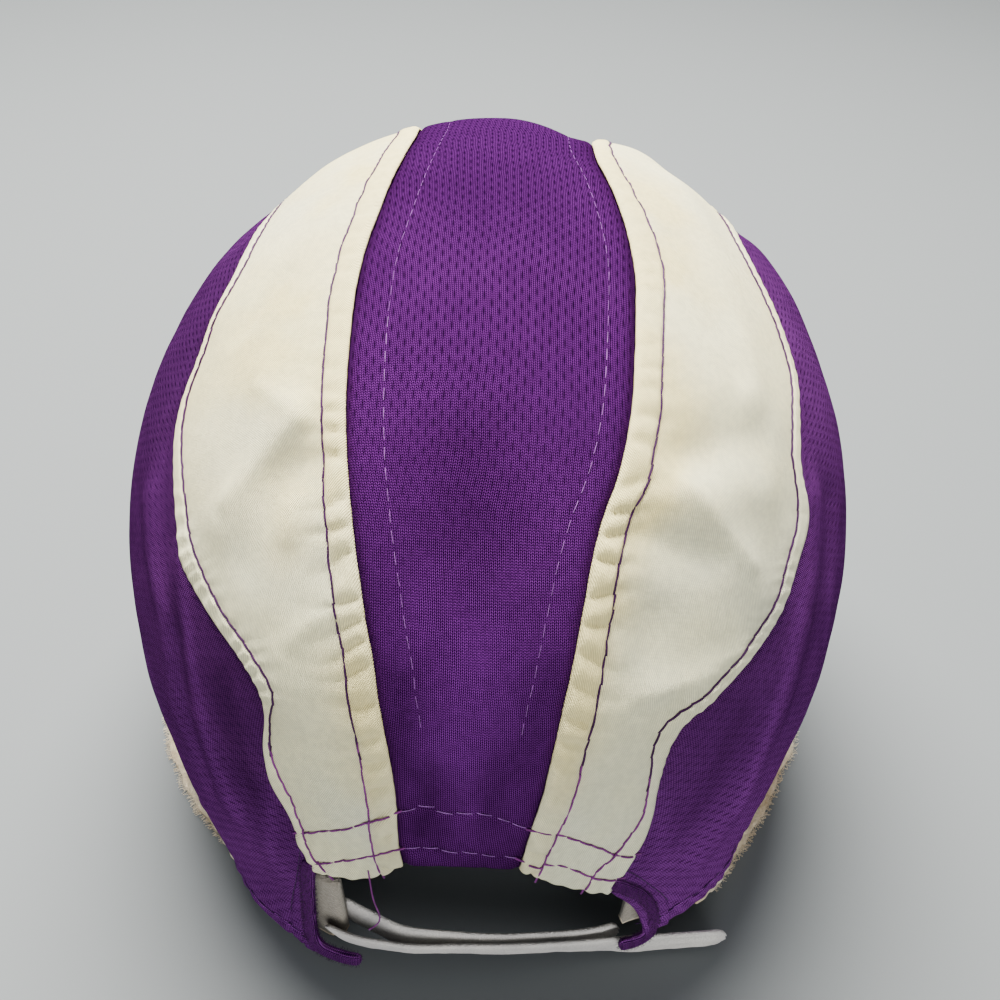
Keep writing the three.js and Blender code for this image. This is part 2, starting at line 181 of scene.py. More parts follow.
# narrow creases and dimples of the white cloth alone, set out like the folds
whiteCreases = [
    (79, 23.5, 62.5, 30.5, 2.4, -0.5),
    (70, 25.5, 61, 32, 2.2, -0.4),
    (63, 25, 54.5, 27, 1.5, 0.3),
    (52.5, 26.5, 48, 20, 1.5, 0.35),
    (47.5, 20, 37.5, 29, 1.8, 0.5),
    (42.5, 21, 42, 21.5, 3.4, -0.6),
    (39.5, 23, 30, 25.5, 4, -0.5),
    (37, 20.5, 34, 20.5, 1.8, 0.35),
    (32.5, 19.5, 21.5, 20, 2.4, -0.45),
    (27, 14.5, 21, 20.5, 2.2, 0.5),
    (80, -22, 60, -30.5, 3, -0.45),
    (65, -26.5, 58, -30, 1.8, -0.35),
    (46.5, -22.5, 51.5, -33.5, 3.5, -0.55),
    (37, -17.5, 34, -26.5, 3.2, -0.8),
    (42.5, -22.5, 33.5, -32, 1.6, 0.45),
    (27.5, -19.5, 19.5, -17.5, 3, -0.5),
    (17, -18.5, 17.5, -23.5, 1.8, -0.7),
    (18.5, -20, 21.5, -32, 2.5, 0.5),
    (5, -15.5, 4.5, -16, 3, -0.5),
]
# painted sheen and painted shade patches of the centre panel, set out like the folds
paintedSheenMarks = [
    (24, -1, 12, 1, 7, 1.1),
    (30, 5, 24, 6, 4, 0.5),
    (10, 3, 2, 4, 3, -0.9),
    (12, -3.5, 4, -3, 2.5, -0.6),
    (20, 6.5, 10, 6, 3, -0.7),
    (22, -8, 10, -6, 3, -0.5),
    (5, -1, -1, -0.5, 3, 0.5),
    (44, 2, 38, 0, 9, -0.6),
    (-2.6, 4.5, -3, 1, 1.6, 0.8),
]
# painted highlights on the ridges and painted shade in the valleys of the side panels, set out like
# the folds
sideLightStreaks = [
    (29, 36.5, 19, 36, 2, 0.7),
    (19, 36, 5, 33.5, 1.8, 1.0),
    (5, 33.5, -4, 31.5, 1.8, 1.1),
    (-4, 31.5, -12, 28.5, 2, 1.0),
    (2.5, 22, -14, 23.5, 1.8, 0.9),
    (45, 46, 27, 44.5, 4, 0.4),
    (27, 44.5, 17, 41, 3.4, 0.5),
    (17, 41, 4.5, 39.5, 3, 0.5),
    (4.5, 39.5, -14, 36, 3.4, 0.5),
    (14, 30, -2, 25.5, 4, -0.6),
    (24, 38.5, 8, 36.5, 1.8, -0.4),
    (44, -48, 28.5, -44, 4, 0.4),
    (28.5, -44, 16.5, -43, 2.2, 0.7),
    (16.5, -43, 7.5, -41, 1.9, 1.0),
    (7.5, -41, -1, -39, 1.9, 1.2),
    (-1, -39, -10, -36.5, 2, 1.1),
    (27, -57.5, 9.5, -59, 2, 0.8),
    (24, -49, 2, -44, 2.6, -0.5),
    (12, -34, -4, -30, 4, -0.5),
    (2.5, -22, -14, -25, 2.4, 0.7),
]
# yellowed places of the white cloth, set out like the folds
yellowMarks = [
    (72, 22, 58, 27, 9, 0.5),
    (92, 18, 84, 20, 7, 0.45),
    (40, 20, 33, 19, 6, 0.35),
    (20, 13, 6, 11, 4, 0.35),
    (52, -20, 44, -19, 6, 0.45),
    (40, -18, 30, -15, 5, 0.5),
    (24, -13, 8, -11, 4, 0.3),
    (88, -20, 74, -21, 7, 0.4),
]

# from each seam to its topstitch: station, inner left, inner right, outer left, outer right
topstitchRows = [
    (0, 5.8, 4.4, 3.2, 6.4),
    (1, 5.4, 4.5, 2.2, 6.8),
    (2, 5.2, 4.7, 2.4, 5.2),
    (3, 5.0, 5.4, 3.2, 3.0),
    (4, 5.0, 5.6, 1.6, 2.6),
    (5, 4.9, 5.5, 1.6, 4.2),
    (6, 4.9, 5.4, 4.0, 4.6),
    (8, 4.6, 5.0, 4.5, 3.7),
    (10, 4.4, 4.5, 4.6, 4.2),
    (12, 3.9, 5.1, 3.6, 3.6),
    (13.8, 4.3, 5.0, 2.0, 3.3),
    (15.5, 4.4, 5.6, 3.0, 3.2),
    (17, 4.5, 4.2, 3.2, 3.2),
    (19, 4.2, 3.5, 3.2, 3.2),
    (25, 4.2, 3.8, 3.2, 3.2),
]

# turn of the two stitch rows of the rear hem: side, upper, lower
hemStitchRows = [
    (-22, -7.6, -12.6),
    (-18, -5.4, -10.2),
    (-15.3, -2.5, -8.4),
    (-12, 0, -5.2),
    (-8, 1.6, -3.7),
    (-5, 3.6, -2),
    (-1.9, 4.8, -1.5),
    (2.2, 4.7, -1),
    (3.6, 5.2, -1.1),
    (6.9, 3.4, -2.6),
    (10.2, 0.9, -4.9),
    (13.4, -1.6, -7.5),
    (17, -4.3, -10.6),
    (22, -8.8, -13.6),
]

panelGrid = {"stations": 25, "rowsPerStation": 14, "wall": 1.1, "edgeWall": 0.5}


def mix(a, b, t):
    return a + (b - a) * t


def smooth(value, low, high):
    t = np.clip((value - low) / (high - low), 0, 1)
    return t * t * (3 - 2 * t)


def fade(value, low, high):
    return 1 - smooth(value, low, high)


def bell(value, width):
    return np.exp(-(value / width) ** 2)


def curveColumn(rows, column, at):
    values = np.array(rows, float)[:, column]
    ends = ([2 * values[0] - values[1]], values, [2 * values[-1] - values[-2]])
    padded = np.concatenate(ends)
    i = np.clip(np.floor(at).astype(int), 0, len(values) - 2)
    t = at - i
    p0, p1, p2, p3 = padded[i], padded[i + 1], padded[i + 2], padded[i + 3]
    cubic = -p0 + 3 * p1 - 3 * p2 + p3
    square = 2 * p0 - 5 * p1 + 4 * p2 - p3
    return 0.5 * (2 * p1 + (p2 - p0) * t + square * t ** 2 + cubic * t ** 3)


def lookUp(rows, column, key):
    table = np.array(rows, float)
    i = np.clip(np.searchsorted(table[:, 0], key) - 1, 0, len(table) - 2)
    t = np.clip((key - table[i, 0]) / (table[i + 1, 0] - table[i, 0]), 0, 1)
    return mix(table[i, column], table[i + 1, column], t * t * (3 - 2 * t))


def curveAt(rows, column, key):
    stops = np.array(rows, float)[:, 0]
    return curveColumn(rows, column, np.interp(key, stops, np.arange(len(stops))))


def unit(vectors):
    return vectors / np.maximum(np.linalg.norm(vectors, axis=-1, keepdims=True), 1e-9)


def directionsAt(turn, side):
    t, s = np.radians(turn), np.radians(side)
    return np.stack([np.sin(s), np.cos(s) * np.cos(t), np.cos(s) * np.sin(t)], axis=-1)


def foldHeight(directions, folds):
    points = directions * crownForm["foldSphere"]
    total = np.zeros(points.shape[:-1])
    for turnA, sideA, turnB, sideB, width, height in folds:
        a = directionsAt(turnA, sideA) * crownForm["foldSphere"]
        along = directionsAt(turnB, sideB) * crownForm["foldSphere"] - a
        t = np.clip((points - a) @ along / max(along @ along, 1), 0, 1)
        away = np.linalg.norm(points - a - t[..., None] * along, axis=-1)
        total += height * bell(away, width)
    return total


def streakLight(directions, streaks):
    lights = [foldHeight(directions, [row]) for row in streaks]
    return np.maximum(np.max(lights, axis=0), 0) + np.minimum(np.min(lights, axis=0), 0)


def formRadius(directions):
    x, y, z = np.moveaxis(directions, -1, 0)
    reach = np.where(y > 0, crownForm["rearReach"], crownForm["frontReach"])
    flat = np.hypot(x / crownForm["halfWidth"], y / reach)
    tall = np.abs(z) / np.where(z > 0, crownForm["rise"], crownForm["drop"])
    power = crownForm["shoulder"]
    size = (flat ** power + tall ** power) ** (1 / power)
    return 1 / size + foldHeight(directions, mainFolds)


def formPoints(directions):
    return directions * formRadius(directions)[..., None]


def formNormals(directions):
    sideways = unit(np.cross(directions, [0, 0, 1]))
    upward = np.cross(sideways, directions)
    here = formPoints(directions)
    one = formPoints(unit(directions + 0.004 * sideways)) - here
    two = formPoints(unit(directions + 0.004 * upward)) - here
    normals = unit(np.cross(one, two))
    facing = np.sum(normals * directions, axis=-1, keepdims=True)
    return normals * np.where(facing < 0, -1, 1)


def ringPoints(reach, bearing, height):
    b = np.radians(bearing)
    return np.stack(np.broadcast_arrays(reach * np.sin(b), reach * np.cos(b), height), axis=-1)


def rimDirections(bearing, height):
    shape = np.broadcast(bearing, height).shape
    low, high = np.full(shape, 20.0), np.full(shape, 160.0)
    for _ in range(40):  # halve the range until the ring meets the form
        middle = (low + high) / 2
        points = ringPoints(middle, bearing, height)
        reach = np.linalg.norm(points, axis=-1)
        inside = reach < formRadius(points / reach[..., None])
        low, high = np.where(inside, middle, low), np.where(inside, high, middle)
    return unit(ringPoints(low, bearing, height))


def rimReach(bearing, height):
    points = formPoints(rimDirections(bearing, height))
    return np.hypot(points[..., 0], points[..., 1])


def arcBetween(a, b, t):
    angle = np.arccos(np.clip(np.sum(a * b, axis=-1), -1, 1))
    share, rest = np.sin((1 - t) * angle), np.sin(t * angle)
    return unit(a * share[..., None] + b * rest[..., None])


def clothNoise(points, scale, seed):
    lattice = np.random.default_rng(seed).uniform(-1, 1, (32, 32, 32))
    cell = points / scale
    base = np.floor(cell).astype(int)
    part = cell - base
    part = part * part * (3 - 2 * part)
    total = np.zeros(points.shape[:-1])
    for corner in np.ndindex(2, 2, 2):
        share = np.prod(np.where(corner, part, 1 - part), axis=-1)
        at = (base + corner) % 32
        total += share * lattice[at[..., 0], at[..., 1], at[..., 2]]
    return total


def runLength(points, axis):
    steps = np.linalg.norm(np.diff(points, axis=axis), axis=-1)
    start = np.zeros_like(np.take(steps, [0], axis=axis))
    return np.concatenate([start, np.cumsum(steps, axis=axis)], axis=axis)


def toMetres(points):
    return (np.asarray(points) + [0, crownForm["back"], crownForm["up"]]) / 1000


def linked(name, data):
    thing = bpy.data.objects.new(name, data)
    bpy.context.scene.collection.objects.link(thing)
    return thing


def newMesh(name, points, faces, uv=None, attributes=None):
    mesh = bpy.data.meshes.new(name)
    mesh.from_pydata(toMetres(points).tolist(), [], faces)
    if uv is not None:
        layer = mesh.uv_layers.new(name="cloth")
        corners = np.zeros(len(mesh.loops), int)
        mesh.loops.foreach_get("vertex_index", corners)
        layer.data.foreach_set("uv", np.asarray(uv)[corners].astype(np.float32).ravel())
    for key, values in (attributes or {}).items():
        attribute = mesh.attributes.new(key, "FLOAT", "POINT")
        attribute.data.foreach_set("value", np.asarray(values, np.float32).ravel())
    mesh.polygons.foreach_set("use_smooth", np.ones(len(mesh.polygons), bool))
    mesh.update()
    return linked(name, mesh)


def strip(a, b, c, d):
    return np.stack([a.ravel(), b.ravel(), c.ravel(), d.ravel()], axis=1)


def gridQuads(index):
    return strip(index[:-1, :-1], index[1:, :-1], index[1:, 1:], index[:-1, 1:])


def closedShell(name, outer, inner, uv, attributes=None):
    rows, columns = outer.shape[:2]
    index = np.arange(rows * columns).reshape(rows, columns)
    under = index + rows * columns
    quads = np.concatenate([
        gridQuads(index),
        np.roll(gridQuads(under)[:, ::-1], 1, axis=1),
        strip(index[:-1, 0], under[:-1, 0], under[1:, 0], index[1:, 0]),
        strip(index[:-1, -1], index[1:, -1], under[1:, -1], under[:-1, -1]),
        strip(index[0, :-1], index[0, 1:], under[0, 1:], under[0, :-1]),
        strip(index[-1, :-1], under[-1, :-1], under[-1, 1:], index[-1, 1:]),
    ])
    points = np.concatenate([outer.reshape(-1, 3), inner.reshape(-1, 3)])
    a, b, c, d = (points[quads[:, k]] for k in range(4))
    if np.sum(a * np.cross(b, c)) + np.sum(a * np.cross(c, d)) < 0:  # faces would point inwards
        quads = quads[:, ::-1]
    both = np.concatenate([uv.reshape(-1, 2)] * 2)
    doubled = {key: np.tile(value.ravel(), 2) for key, value in (attributes or {}).items()}
    return newMesh(name, points, quads.tolist(), both, doubled)


def traceLine(field, points, normals):
    # where the field first changes sign along each row of the grid
    path, lift = [], []
    for row in range(field.shape[0]):
        turns = np.nonzero((field[row, :-1] < 0) != (field[row, 1:] < 0))[0]
        if len(turns):
            k = turns[0]
            t = field[row, k] / (field[row, k] - field[row, k + 1])
            path.append(mix(points[row, k], points[row, k + 1], t))
            lift.append(mix(normals[row, k], normals[row, k + 1], t))
    return np.array(path), unit(np.array(lift))


print("helpers ready")

# Crown panels. A grid runs from the rear hem to the front hem and across from seam to seam.

whiteCloth = {
    "puff": 0.9,
    "puffStart": 3.57,
    "bandRise": 0.5,
    "edgeDrop": 0.5,
    "overlap": 0.45,
    "pucker": 0.8,
    "puckerPitch": 10.8,
    "puckerSlant": -0.35,
    "farPucker": 0.22,
    "farPitch": 3.5,
    "hemPucker": 0.16,
    "hemPitch": 4.2,
    "nearSway": 0.3,
    "farSway": 0.42,
    "groove": 0.42,
    "grooveWidth": 0.5,
    "hemRise": 0.35,
    "wrinkle": 0.28,
}
purpleCloth = {
    "centrePuff": 0.5,
    "rearLift": 1.2,
    "frontLift": 1.8,
    "nearStitch": 7.8,
    "tuck": 1.0,
    "tuckWidth": 1.3,
    "threadDip": 0.16,
    "hemRise": 0.4,
    "tabRoll": 0.5,
    "tabRollWidth": 3.4,
    "tabBand": 7.4,
    "tabRise": 0.3,
    "tabGroove": 0.4,
    "rimHem": 6.2,
    "rimGroove": 0.35,
    "rimEdge": 0.7,
    "rimPucker": 0.16,
    "rimPitch": 5.5,
    "gather": 0.3,
    "gatherPitch": 6.5,
    "wrinkle": 0.16,
}
edgeRoll = {"reach": 1.2, "outer": 0.75, "inner": 0.3}
rearStations = 1.786  # how far the bow of the hem edges reaches into the panels
farStitchRows = [(0, 7.2), (6, 7.0), (12, 6.1), (25, 6.2)]  # station, distance, on the centre panel


def stationColumns(seams):
    count = panelGrid["stations"] * panelGrid["rowsPerStation"] + 1
    at = np.linspace(0, panelGrid["stations"], count)
    names = ("innerTurn", "innerSide", "outerTurn", "outerSide", "rim")
    row = {name: curveColumn(seams, k, at)[:, None] for k, name in enumerate(names)}
    return at[:, None], row


def acrossStops(parts):
    stops, start = [np.zeros(1)], 0.0
    for share, count in parts:
        stops.append(np.linspace(start, start + share, count + 1)[1:])
        start += share
    return np.concatenate(stops)[None, :]


def puckers(along, across, points, pitch, slant, seed, loose=0.75):
    drift = loose * clothNoise(points, 9, seed)
    return np.sin(2 * np.pi * ((along + slant * across) / pitch + drift))


def edgeCurl(distance):
    fold = np.clip(1 - distance / edgeRoll["reach"], 0, 1)
    return 1 - np.sqrt(np.maximum(1 - fold * fold, 0))


def surfaceOf(directions):
    points = formPoints(directions)
    across, along = runLength(points, 1), runLength(points, 0)
    return {
        "points": points,
        "facing": formNormals(directions),
        "directions": directions,
        "near": across,
        "far": across[:, -1:] - across,
        "along": along,
        "ahead": along[-1:] - along,
    }


def addHemLines(grid, turn, side):
    perDegree = np.pi / 180 * crownForm["rearReach"]
    for column, key in ((1, "upperHem"), (2, "lowerHem")):
        grid[key] = (turn - curveAt(hemStitchRows, column, side)) * perDegree
    return fade(grid["upperHem"], -0.6, 0.8)


def uprightCloth(grid, column):
    half = grid["near"] - grid["near"][:, -1:] / 2
    return np.stack([half, grid["along"][:, column:column + 1] + 0 * half], axis=-1)


def finishPanel(name, grid, height, uv, attributes):
    edge = np.minimum(grid["near"], grid["far"])
    wall = mix(panelGrid["edgeWall"], panelGrid["wall"], smooth(edge, 0, 2.5))
    curl = edgeCurl(grid["along"]) + edgeCurl(grid["ahead"])
    wall = wall - (edgeRoll["outer"] + edgeRoll["inner"]) * curl
    grid["outer"] = grid["points"] + grid["facing"] * (height - edgeRoll["outer"] * curl)[..., None]
    inner = grid["outer"] - grid["facing"] * wall[..., None]
    grid["piece"] = closedShell(name, grid["outer"], inner, uv, attributes)
    return grid


def makeWhitePanel(name, seams, sign, hemBow, innerColumn, outerColumn, seed):
    size = whiteCloth
    at, row = stationColumns(seams)
    t = acrossStops([(0.14, 16), (0.72, 28), (0.14, 16)])
    arch = np.sin(np.pi * t)
    turn = mix(row["innerTurn"], row["outerTurn"], t) - hemBow * arch * fade(at, 0, rearStations)
    side = sign * mix(row["innerSide"], row["outerSide"], t)
    grid = surfaceOf(directionsAt(turn, side))
    points, near, far, along = (grid[key] for key in ("points", "near", "far", "along"))
    hem = addHemLines(grid, turn, side)
    sway = clothNoise(points, 4.5, seed + 7)
    grid["nearStitch"] = near - curveAt(topstitchRows, innerColumn, at) - size["nearSway"] * sway
    grid["farStitch"] = far - curveAt(topstitchRows, outerColumn, at) - size["farSway"] * sway

    wave = puckers(along, near, points, size["puckerPitch"], size["puckerSlant"], seed, 0.3)
    wave = 1.8 * np.abs(wave) ** 0.55 - 1.3  # broad lobes with narrow valleys
    farWave = puckers(along, far, points, size["farPitch"], -0.3 * sign, seed + 1, 0.9)
    hemWave = puckers(near, along, points, size["hemPitch"], 0.25, seed + 2)
    lowerPart = mix(1, 0.25, smooth(at, 8, 14))
    bulgePart = mix(0.25, 1, smooth(at, 4.5, 6) * fade(at, 9.5, 12))
    fading = smooth(clothNoise(points, 13, seed + 6), -0.3, 0.5)
    nearRipple = size["pucker"] * mix(0.85, 1.15, fading) * lowerPart * wave
    farRipple = size["farPucker"] * mix(0.65, 1.2, fading) * bulgePart * farWave

    middle = smooth(near, 3, 12) * smooth(far, 3, 10)
    lines = [grid[key] for key in ("nearStitch", "farStitch", "upperHem", "lowerHem")]
    height = (size["puff"] * arch * smooth(at, 0, size["puffStart"])
              + hem * (size["hemRise"] + size["hemPucker"] * hemWave)
              + size["wrinkle"] * middle * clothNoise(points, 15, seed + 3)
              + 0.4 * size["wrinkle"] * clothNoise(points, 5.5, seed + 4)
              + foldHeight(grid["directions"], whiteCreases)
              - size["groove"] * sum(bell(line, size["grooveWidth"]) for line in lines))
    for stitch, edge, ripple in ((lines[0], near, nearRipple), (lines[1], far, farRipple)):
        inside = smooth(edge, 0, 1.2) * fade(stitch, -1.2, 0.2)
        outside = smooth(stitch, 0.1, 1) * np.exp(-np.maximum(stitch, 0) / 2.6)
        height += size["bandRise"] * fade(stitch, -0.5, 0.9) - size["edgeDrop"] * bell(edge, 0.55)
        height += ripple * (inside + 0.8 * outside)

    overNear = (size["overlap"] + 0.05 * wave) * bell(near, 1.4)
    overFar = (size["overlap"] + 0.1 * fading * farWave) * bell(far, 1.4)
    tangent = unit(np.gradient(points, axis=1))
    grid["points"] = points + tangent * (overFar - overNear)[..., None]
    yellowed = foldHeight(grid["directions"], yellowMarks)
    return finishPanel(name, grid, height, uprightCloth(grid, 30), {
        "innerBand": fade(grid["nearStitch"], -0.8, 0.6),
        "seamFade": np.exp(-np.maximum(grid["nearStitch"], 0) / 7),
        "yellowed": yellowed + 0.6 * smooth(turn, 10, 62) - 0.3 * fade(turn, -2, 14),
    })


def makeCentrePanel(name):
    size = purpleCloth
    at, left = stationColumns(leftSeams)
    _, right = stationColumns(rightSeams)
    t = acrossStops([(0.1, 12), (0.8, 46), (0.1, 12)])
    arch, last = np.sin(np.pi * t), panelGrid["stations"]
    lift = (size["rearLift"] * fade(at, 0, rearStations)
            - size["frontLift"] * smooth(at, last - rearStations, last))
    turn = mix(left["innerTurn"], right["innerTurn"], t) + lift * arch
    side = mix(left["innerSide"], -right["innerSide"], t)
    grid = surfaceOf(directionsAt(turn, side))
    points, near, far, along = (grid[key] for key in ("points", "near", "far", "along"))
    hem = addHemLines(grid, turn, side)
    grid["nearStitch"] = near - size["nearStitch"]
    grid["farStitch"] = far - lookUp(farStitchRows, 1, at)

    stitches = bell(grid["nearStitch"], 0.7) + bell(grid["farStitch"], 0.7)
    hemLines = bell(grid["upperHem"], 0.6) + bell(grid["lowerHem"], 0.6)
    gathers = puckers(near, along, points, size["gatherPitch"], 0.12, 31)
    height = (size["centrePuff"] * arch
              - size["tuck"] * (bell(near, size["tuckWidth"]) + bell(far, size["tuckWidth"]))
              - size["threadDip"] * (stitches + 1.6 * hemLines)
              + size["hemRise"] * hem
              + size["gather"] * gathers * np.exp(-along / 22) * smooth(along, 0, 3)
              + size["wrinkle"] * clothNoise(points, 12, 32))
    # painted light of the centre panel: painted sheen and shade patches, painted shade along both
    # seams, and a painted shade that deepens from the rear hem over the top
    paintedLight = foldHeight(grid["directions"], paintedSheenMarks) - 0.6 * (bell(near, 2.4) + bell(far, 2.4))
    return finishPanel(name, grid, height, uprightCloth(grid, 35), {
        "holes": smooth(turn, 26, 62) * 0.8 + 0.1,
        "paintedLight": paintedLight + mix(0.15, -1.25, smooth(turn, 20, 90)),
        "ruffle": np.exp(-along / 7),
    })


def makeSidePanel(name, seams, sign, rimColumn, bulge, seed):
    size = purpleCloth
    at, row = stationColumns(seams)
    t = acrossStops([(0.05, 8), (0.83, 70), (0.12, 18)])
    top = directionsAt(row["outerTurn"], sign * row["outerSide"])
    bottom = rimDirections(sign * row["rim"], lookUp(rimHeights, rimColumn, row["rim"]))
    directions = arcBetween(top + 0 * t[..., None], bottom + 0 * t[..., None], t)
    angle = np.radians(-sign * bulge * fade(at, 0, 2.4) * np.sin(np.pi * t))
    x, y, z = np.moveaxis(directions, -1, 0)
    turned = (x * np.cos(angle) - y * np.sin(angle), x * np.sin(angle) + y * np.cos(angle), z)
    directions = np.stack(turned, axis=-1)
    grid = surfaceOf(directions)
    points, near, far, along = (grid[key] for key in ("points", "near", "far", "along"))
    grid["firstTab"] = along - size["tabRollWidth"]
    grid["secondTab"] = along - size["tabBand"]
    grid["rimStitch"] = far - size["rimHem"]

    roll = np.clip(1 - (2 * along / size["tabRollWidth"] - 1) ** 2, 0, 1) ** 0.5
    rimWave = puckers(along, far, points, size["rimPitch"], 0.3, seed)
    height = (size["tabRoll"] * roll * (along < size["tabRollWidth"]) * smooth(near, 0, 4)
              + size["tabRise"] * fade(grid["secondTab"], -0.4, 0.8)
              - size["tabGroove"] * (bell(grid["firstTab"], 0.5) + bell(grid["secondTab"], 0.55))
              - size["tuck"] * bell(near, size["tuckWidth"])
              + size["hemRise"] * fade(grid["rimStitch"], -0.5, 0.9)
              - size["rimGroove"] * bell(grid["rimStitch"], 0.5) - size["rimEdge"] * edgeCurl(far)
              + size["rimPucker"] * rimWave * fade(far, 4, 12)
              + size["wrinkle"] * clothNoise(points, 12, seed + 1)
              + 0.8 * size["wrinkle"] * clothNoise(points, 6, seed + 2))

    flat = directions * (crownForm["foldSphere"] * np.sqrt(2 / (1 + np.abs(x))))[..., None]
    y, level = points[..., 1], points[..., 2]
    # painted light of the side panels: painted highlights and shade along the streaks, painted
    # shade under the top seam, painted light near the rim, near the tab and low down, painted shade
    # high up and towards the front, and the right panel painted brighter
    paintedLight = (streakLight(directions, sideLightStreaks) - 0.3 * bell(near, 4) + 0.5 * bell(far, 8)
             + 0.6 * fade(along, 5, 12) + mix(0.8, -0.85, smooth(level, -35, 58))
             + 1.2 * fade(level, -38, 8) + 0.8 * (sign < 0))
    return finishPanel(name, grid, height, np.stack([flat[..., 2], flat[..., 1]], axis=-1), {
        "holes": 0.9 - 0.45 * smooth(level, -15, 20) * smooth(y, 15, 55),
        "paintedLight": mix(-0.7, paintedLight, smooth(y, -45, 25)),
        "ruffle": 0.3 * np.exp(-along / 9),
    })


crown = {
    "centre": makeCentrePanel("centrePanelCloth"),
    "whiteLeft": makeWhitePanel("whitePanelLeftCloth", leftSeams, 1, 1.6, 1, 3, 41),
    "whiteRight": makeWhitePanel("whitePanelRightCloth", rightSeams, -1, 0.5, 2, 4, 51),
    "sideLeft": makeSidePanel("sidePanelLeftCloth", leftSeams, 1, 1, 0.3, 61),
    "sideRight": makeSidePanel("sidePanelRightCloth", rightSeams, -1, 2, 1.4, 71),
}

# rolled hems of the rear tabs: bearing, height, out from the form
leftTabRoll = [
    (18.2, -17, 0.5),
    (18.7, -24, 0.6),
    (19.2, -32, 0.6),
    (19.9, -42, 0.6),
    (20, -48, 0.7),
    (19.2, -51.8, 0.6),
    (17.5, -53.4, 0.2),
    (15.3, -53.6, -0.3),
    (13.2, -53.2, -0.8),
]
rightTabRoll = [
    (-18, -17.5, 0.5),
    (-19.9, -20.5, 0.6),
    (-22.2, -25.2, 0.6),
    (-24.3, -31, 0.6),
    (-25.8, -38, 0.6),
    (-26.3, -43.8, 0.6),
    (-25.6, -47, 0.4),
    (-24, -48, 0),
    (-22, -47.6, -0.4),
]


def sweep(name, path, radius, sides, attributes):
    tangent = unit(np.gradient(path, axis=0))
    first = unit(np.cross(tangent, unit(path * [1, 1, 0])))
    second = np.cross(tangent, first)
    run = runLength(path, 0)
    left = np.minimum(run, run[-1] - run)
    taper = np.sqrt(np.clip(1 - np.clip(1 - left / radius, 0, 1) ** 2, 0.02, 1)) * radius
    angle = np.linspace(0, 2 * np.pi, sides, endpoint=False)[None, :, None]
    around = np.cos(angle) * first[:, None] + np.sin(angle) * second[:, None]
    rings = path[:, None] + taper[:, None, None] * around
    lumps = 0.06 * radius * clothNoise(rings, 1.8, 131)
    rings = rings + lumps[..., None] * unit(rings - path[:, None])
    index = np.arange(len(path) * sides).reshape(len(path), sides)
    after = np.roll(index, -1, axis=1)
    faces = strip(index[:-1], after[:-1], after[1:], index[1:]).tolist()
    faces += [index[0, ::-1].tolist(), index[-1].tolist()]
    wide = np.cos(angle[..., 0]) * radius * 2
    uv = np.stack(np.broadcast_arrays(wide, run[:, None]), axis=-1).reshape(-1, 2)
    values = {key: np.full(index.size, value) for key, value in attributes.items()}
    return newMesh(name, rings.reshape(-1, 3), faces, uv, values), rings


def formPath(rows, steps):
    at = np.linspace(0, len(rows) - 1, steps)
    bearing, height, out = (curveColumn(rows, k, at) for k in range(3))
    return ringPoints(rimReach(bearing, height) + out, bearing, height)


def rimPath(grid):
    edge = grid["outer"][:, -1]
    bearing = np.degrees(np.arctan2(np.abs(edge[:, 0]), edge[:, 1]))
    kept = edge[(bearing > 36) & (bearing < 104)]
    return kept + unit(kept * [1, 1, 0]) * 0.3 - [0, 0, 0.5]


# the rolled tab hems are painted much brighter, a painted highlight
rollCloth = {"holes": 0.0, "paintedLight": 2.8, "ruffle": 0.6}
tubeSizes = {"leftRoll": 1.35, "rightRoll": 1.3, "tape": 0.42, "rollSides": 20, "tapeSides": 8}
rolls = [
    sweep("tabRollLeft", formPath(leftTabRoll, 120), tubeSizes["leftRoll"],
          tubeSizes["rollSides"], rollCloth),
    sweep("tabRollRight", formPath(rightTabRoll, 120), tubeSizes["rightRoll"],
          tubeSizes["rollSides"], rollCloth),
]
tapes = [
    sweep("rimTape" + label, rimPath(crown["side" + label]), tubeSizes["tape"],
          tubeSizes["tapeSides"], {"lip": 1.0})
    for label in ("Left", "Right")
]
print("crown panels ready")

# Sweatband inside the crown, with a fuzzy lip below the side hems.

sweatband = {
    "top": -31.0,
    "thick": 2.2,
    "clear": 2.0,
    "tuck": 2.2,
    "frontHem": -50.2,
    "steps": 300,
    "levels": 26,
}
# bearing from the rear, lower edge, how far the lip stands out
bandRows = [
    (16.5, -50.5, 0),
    (20, -55.6, 0),
    (36, -57.4, 0),
    (43, -59.4, 0.2),
    (50, -60, 1.6),
    (57, -60, 3.2),
    (63, -60, 5.1),
    (73, -60, 7.6),
    (82, -60, 9.8),
    (90, -60, 9.9),
    (100, -60, 6.8),
    (109, -58, 0),
    (180, -54, 0),
    (251, -58, 0),
    (256, -59.6, 1.2),
    (262, -60, 4.6),
    (272, -60, 10.3),
    (278, -60, 9.4),
    (286, -60, 6),
    (294, -60, 4.2),
    (301, -60, 2.9),
    (310, -60, 1.7),
    (316, -57.4, 0.6),
    (323, -50.4, 0),
    (330, -48.6, 0),
    (336.5, -46, 0),
]


def hemHeight(bearing):
    folded = np.minimum(bearing, 360 - bearing)
    left, right = lookUp(rimHeights, 1, folded), lookUp(rimHeights, 2, folded)
    rim = np.where(bearing > 180, right, left)
    return mix(rim, sweatband["frontHem"], smooth(folded, 130, 150))


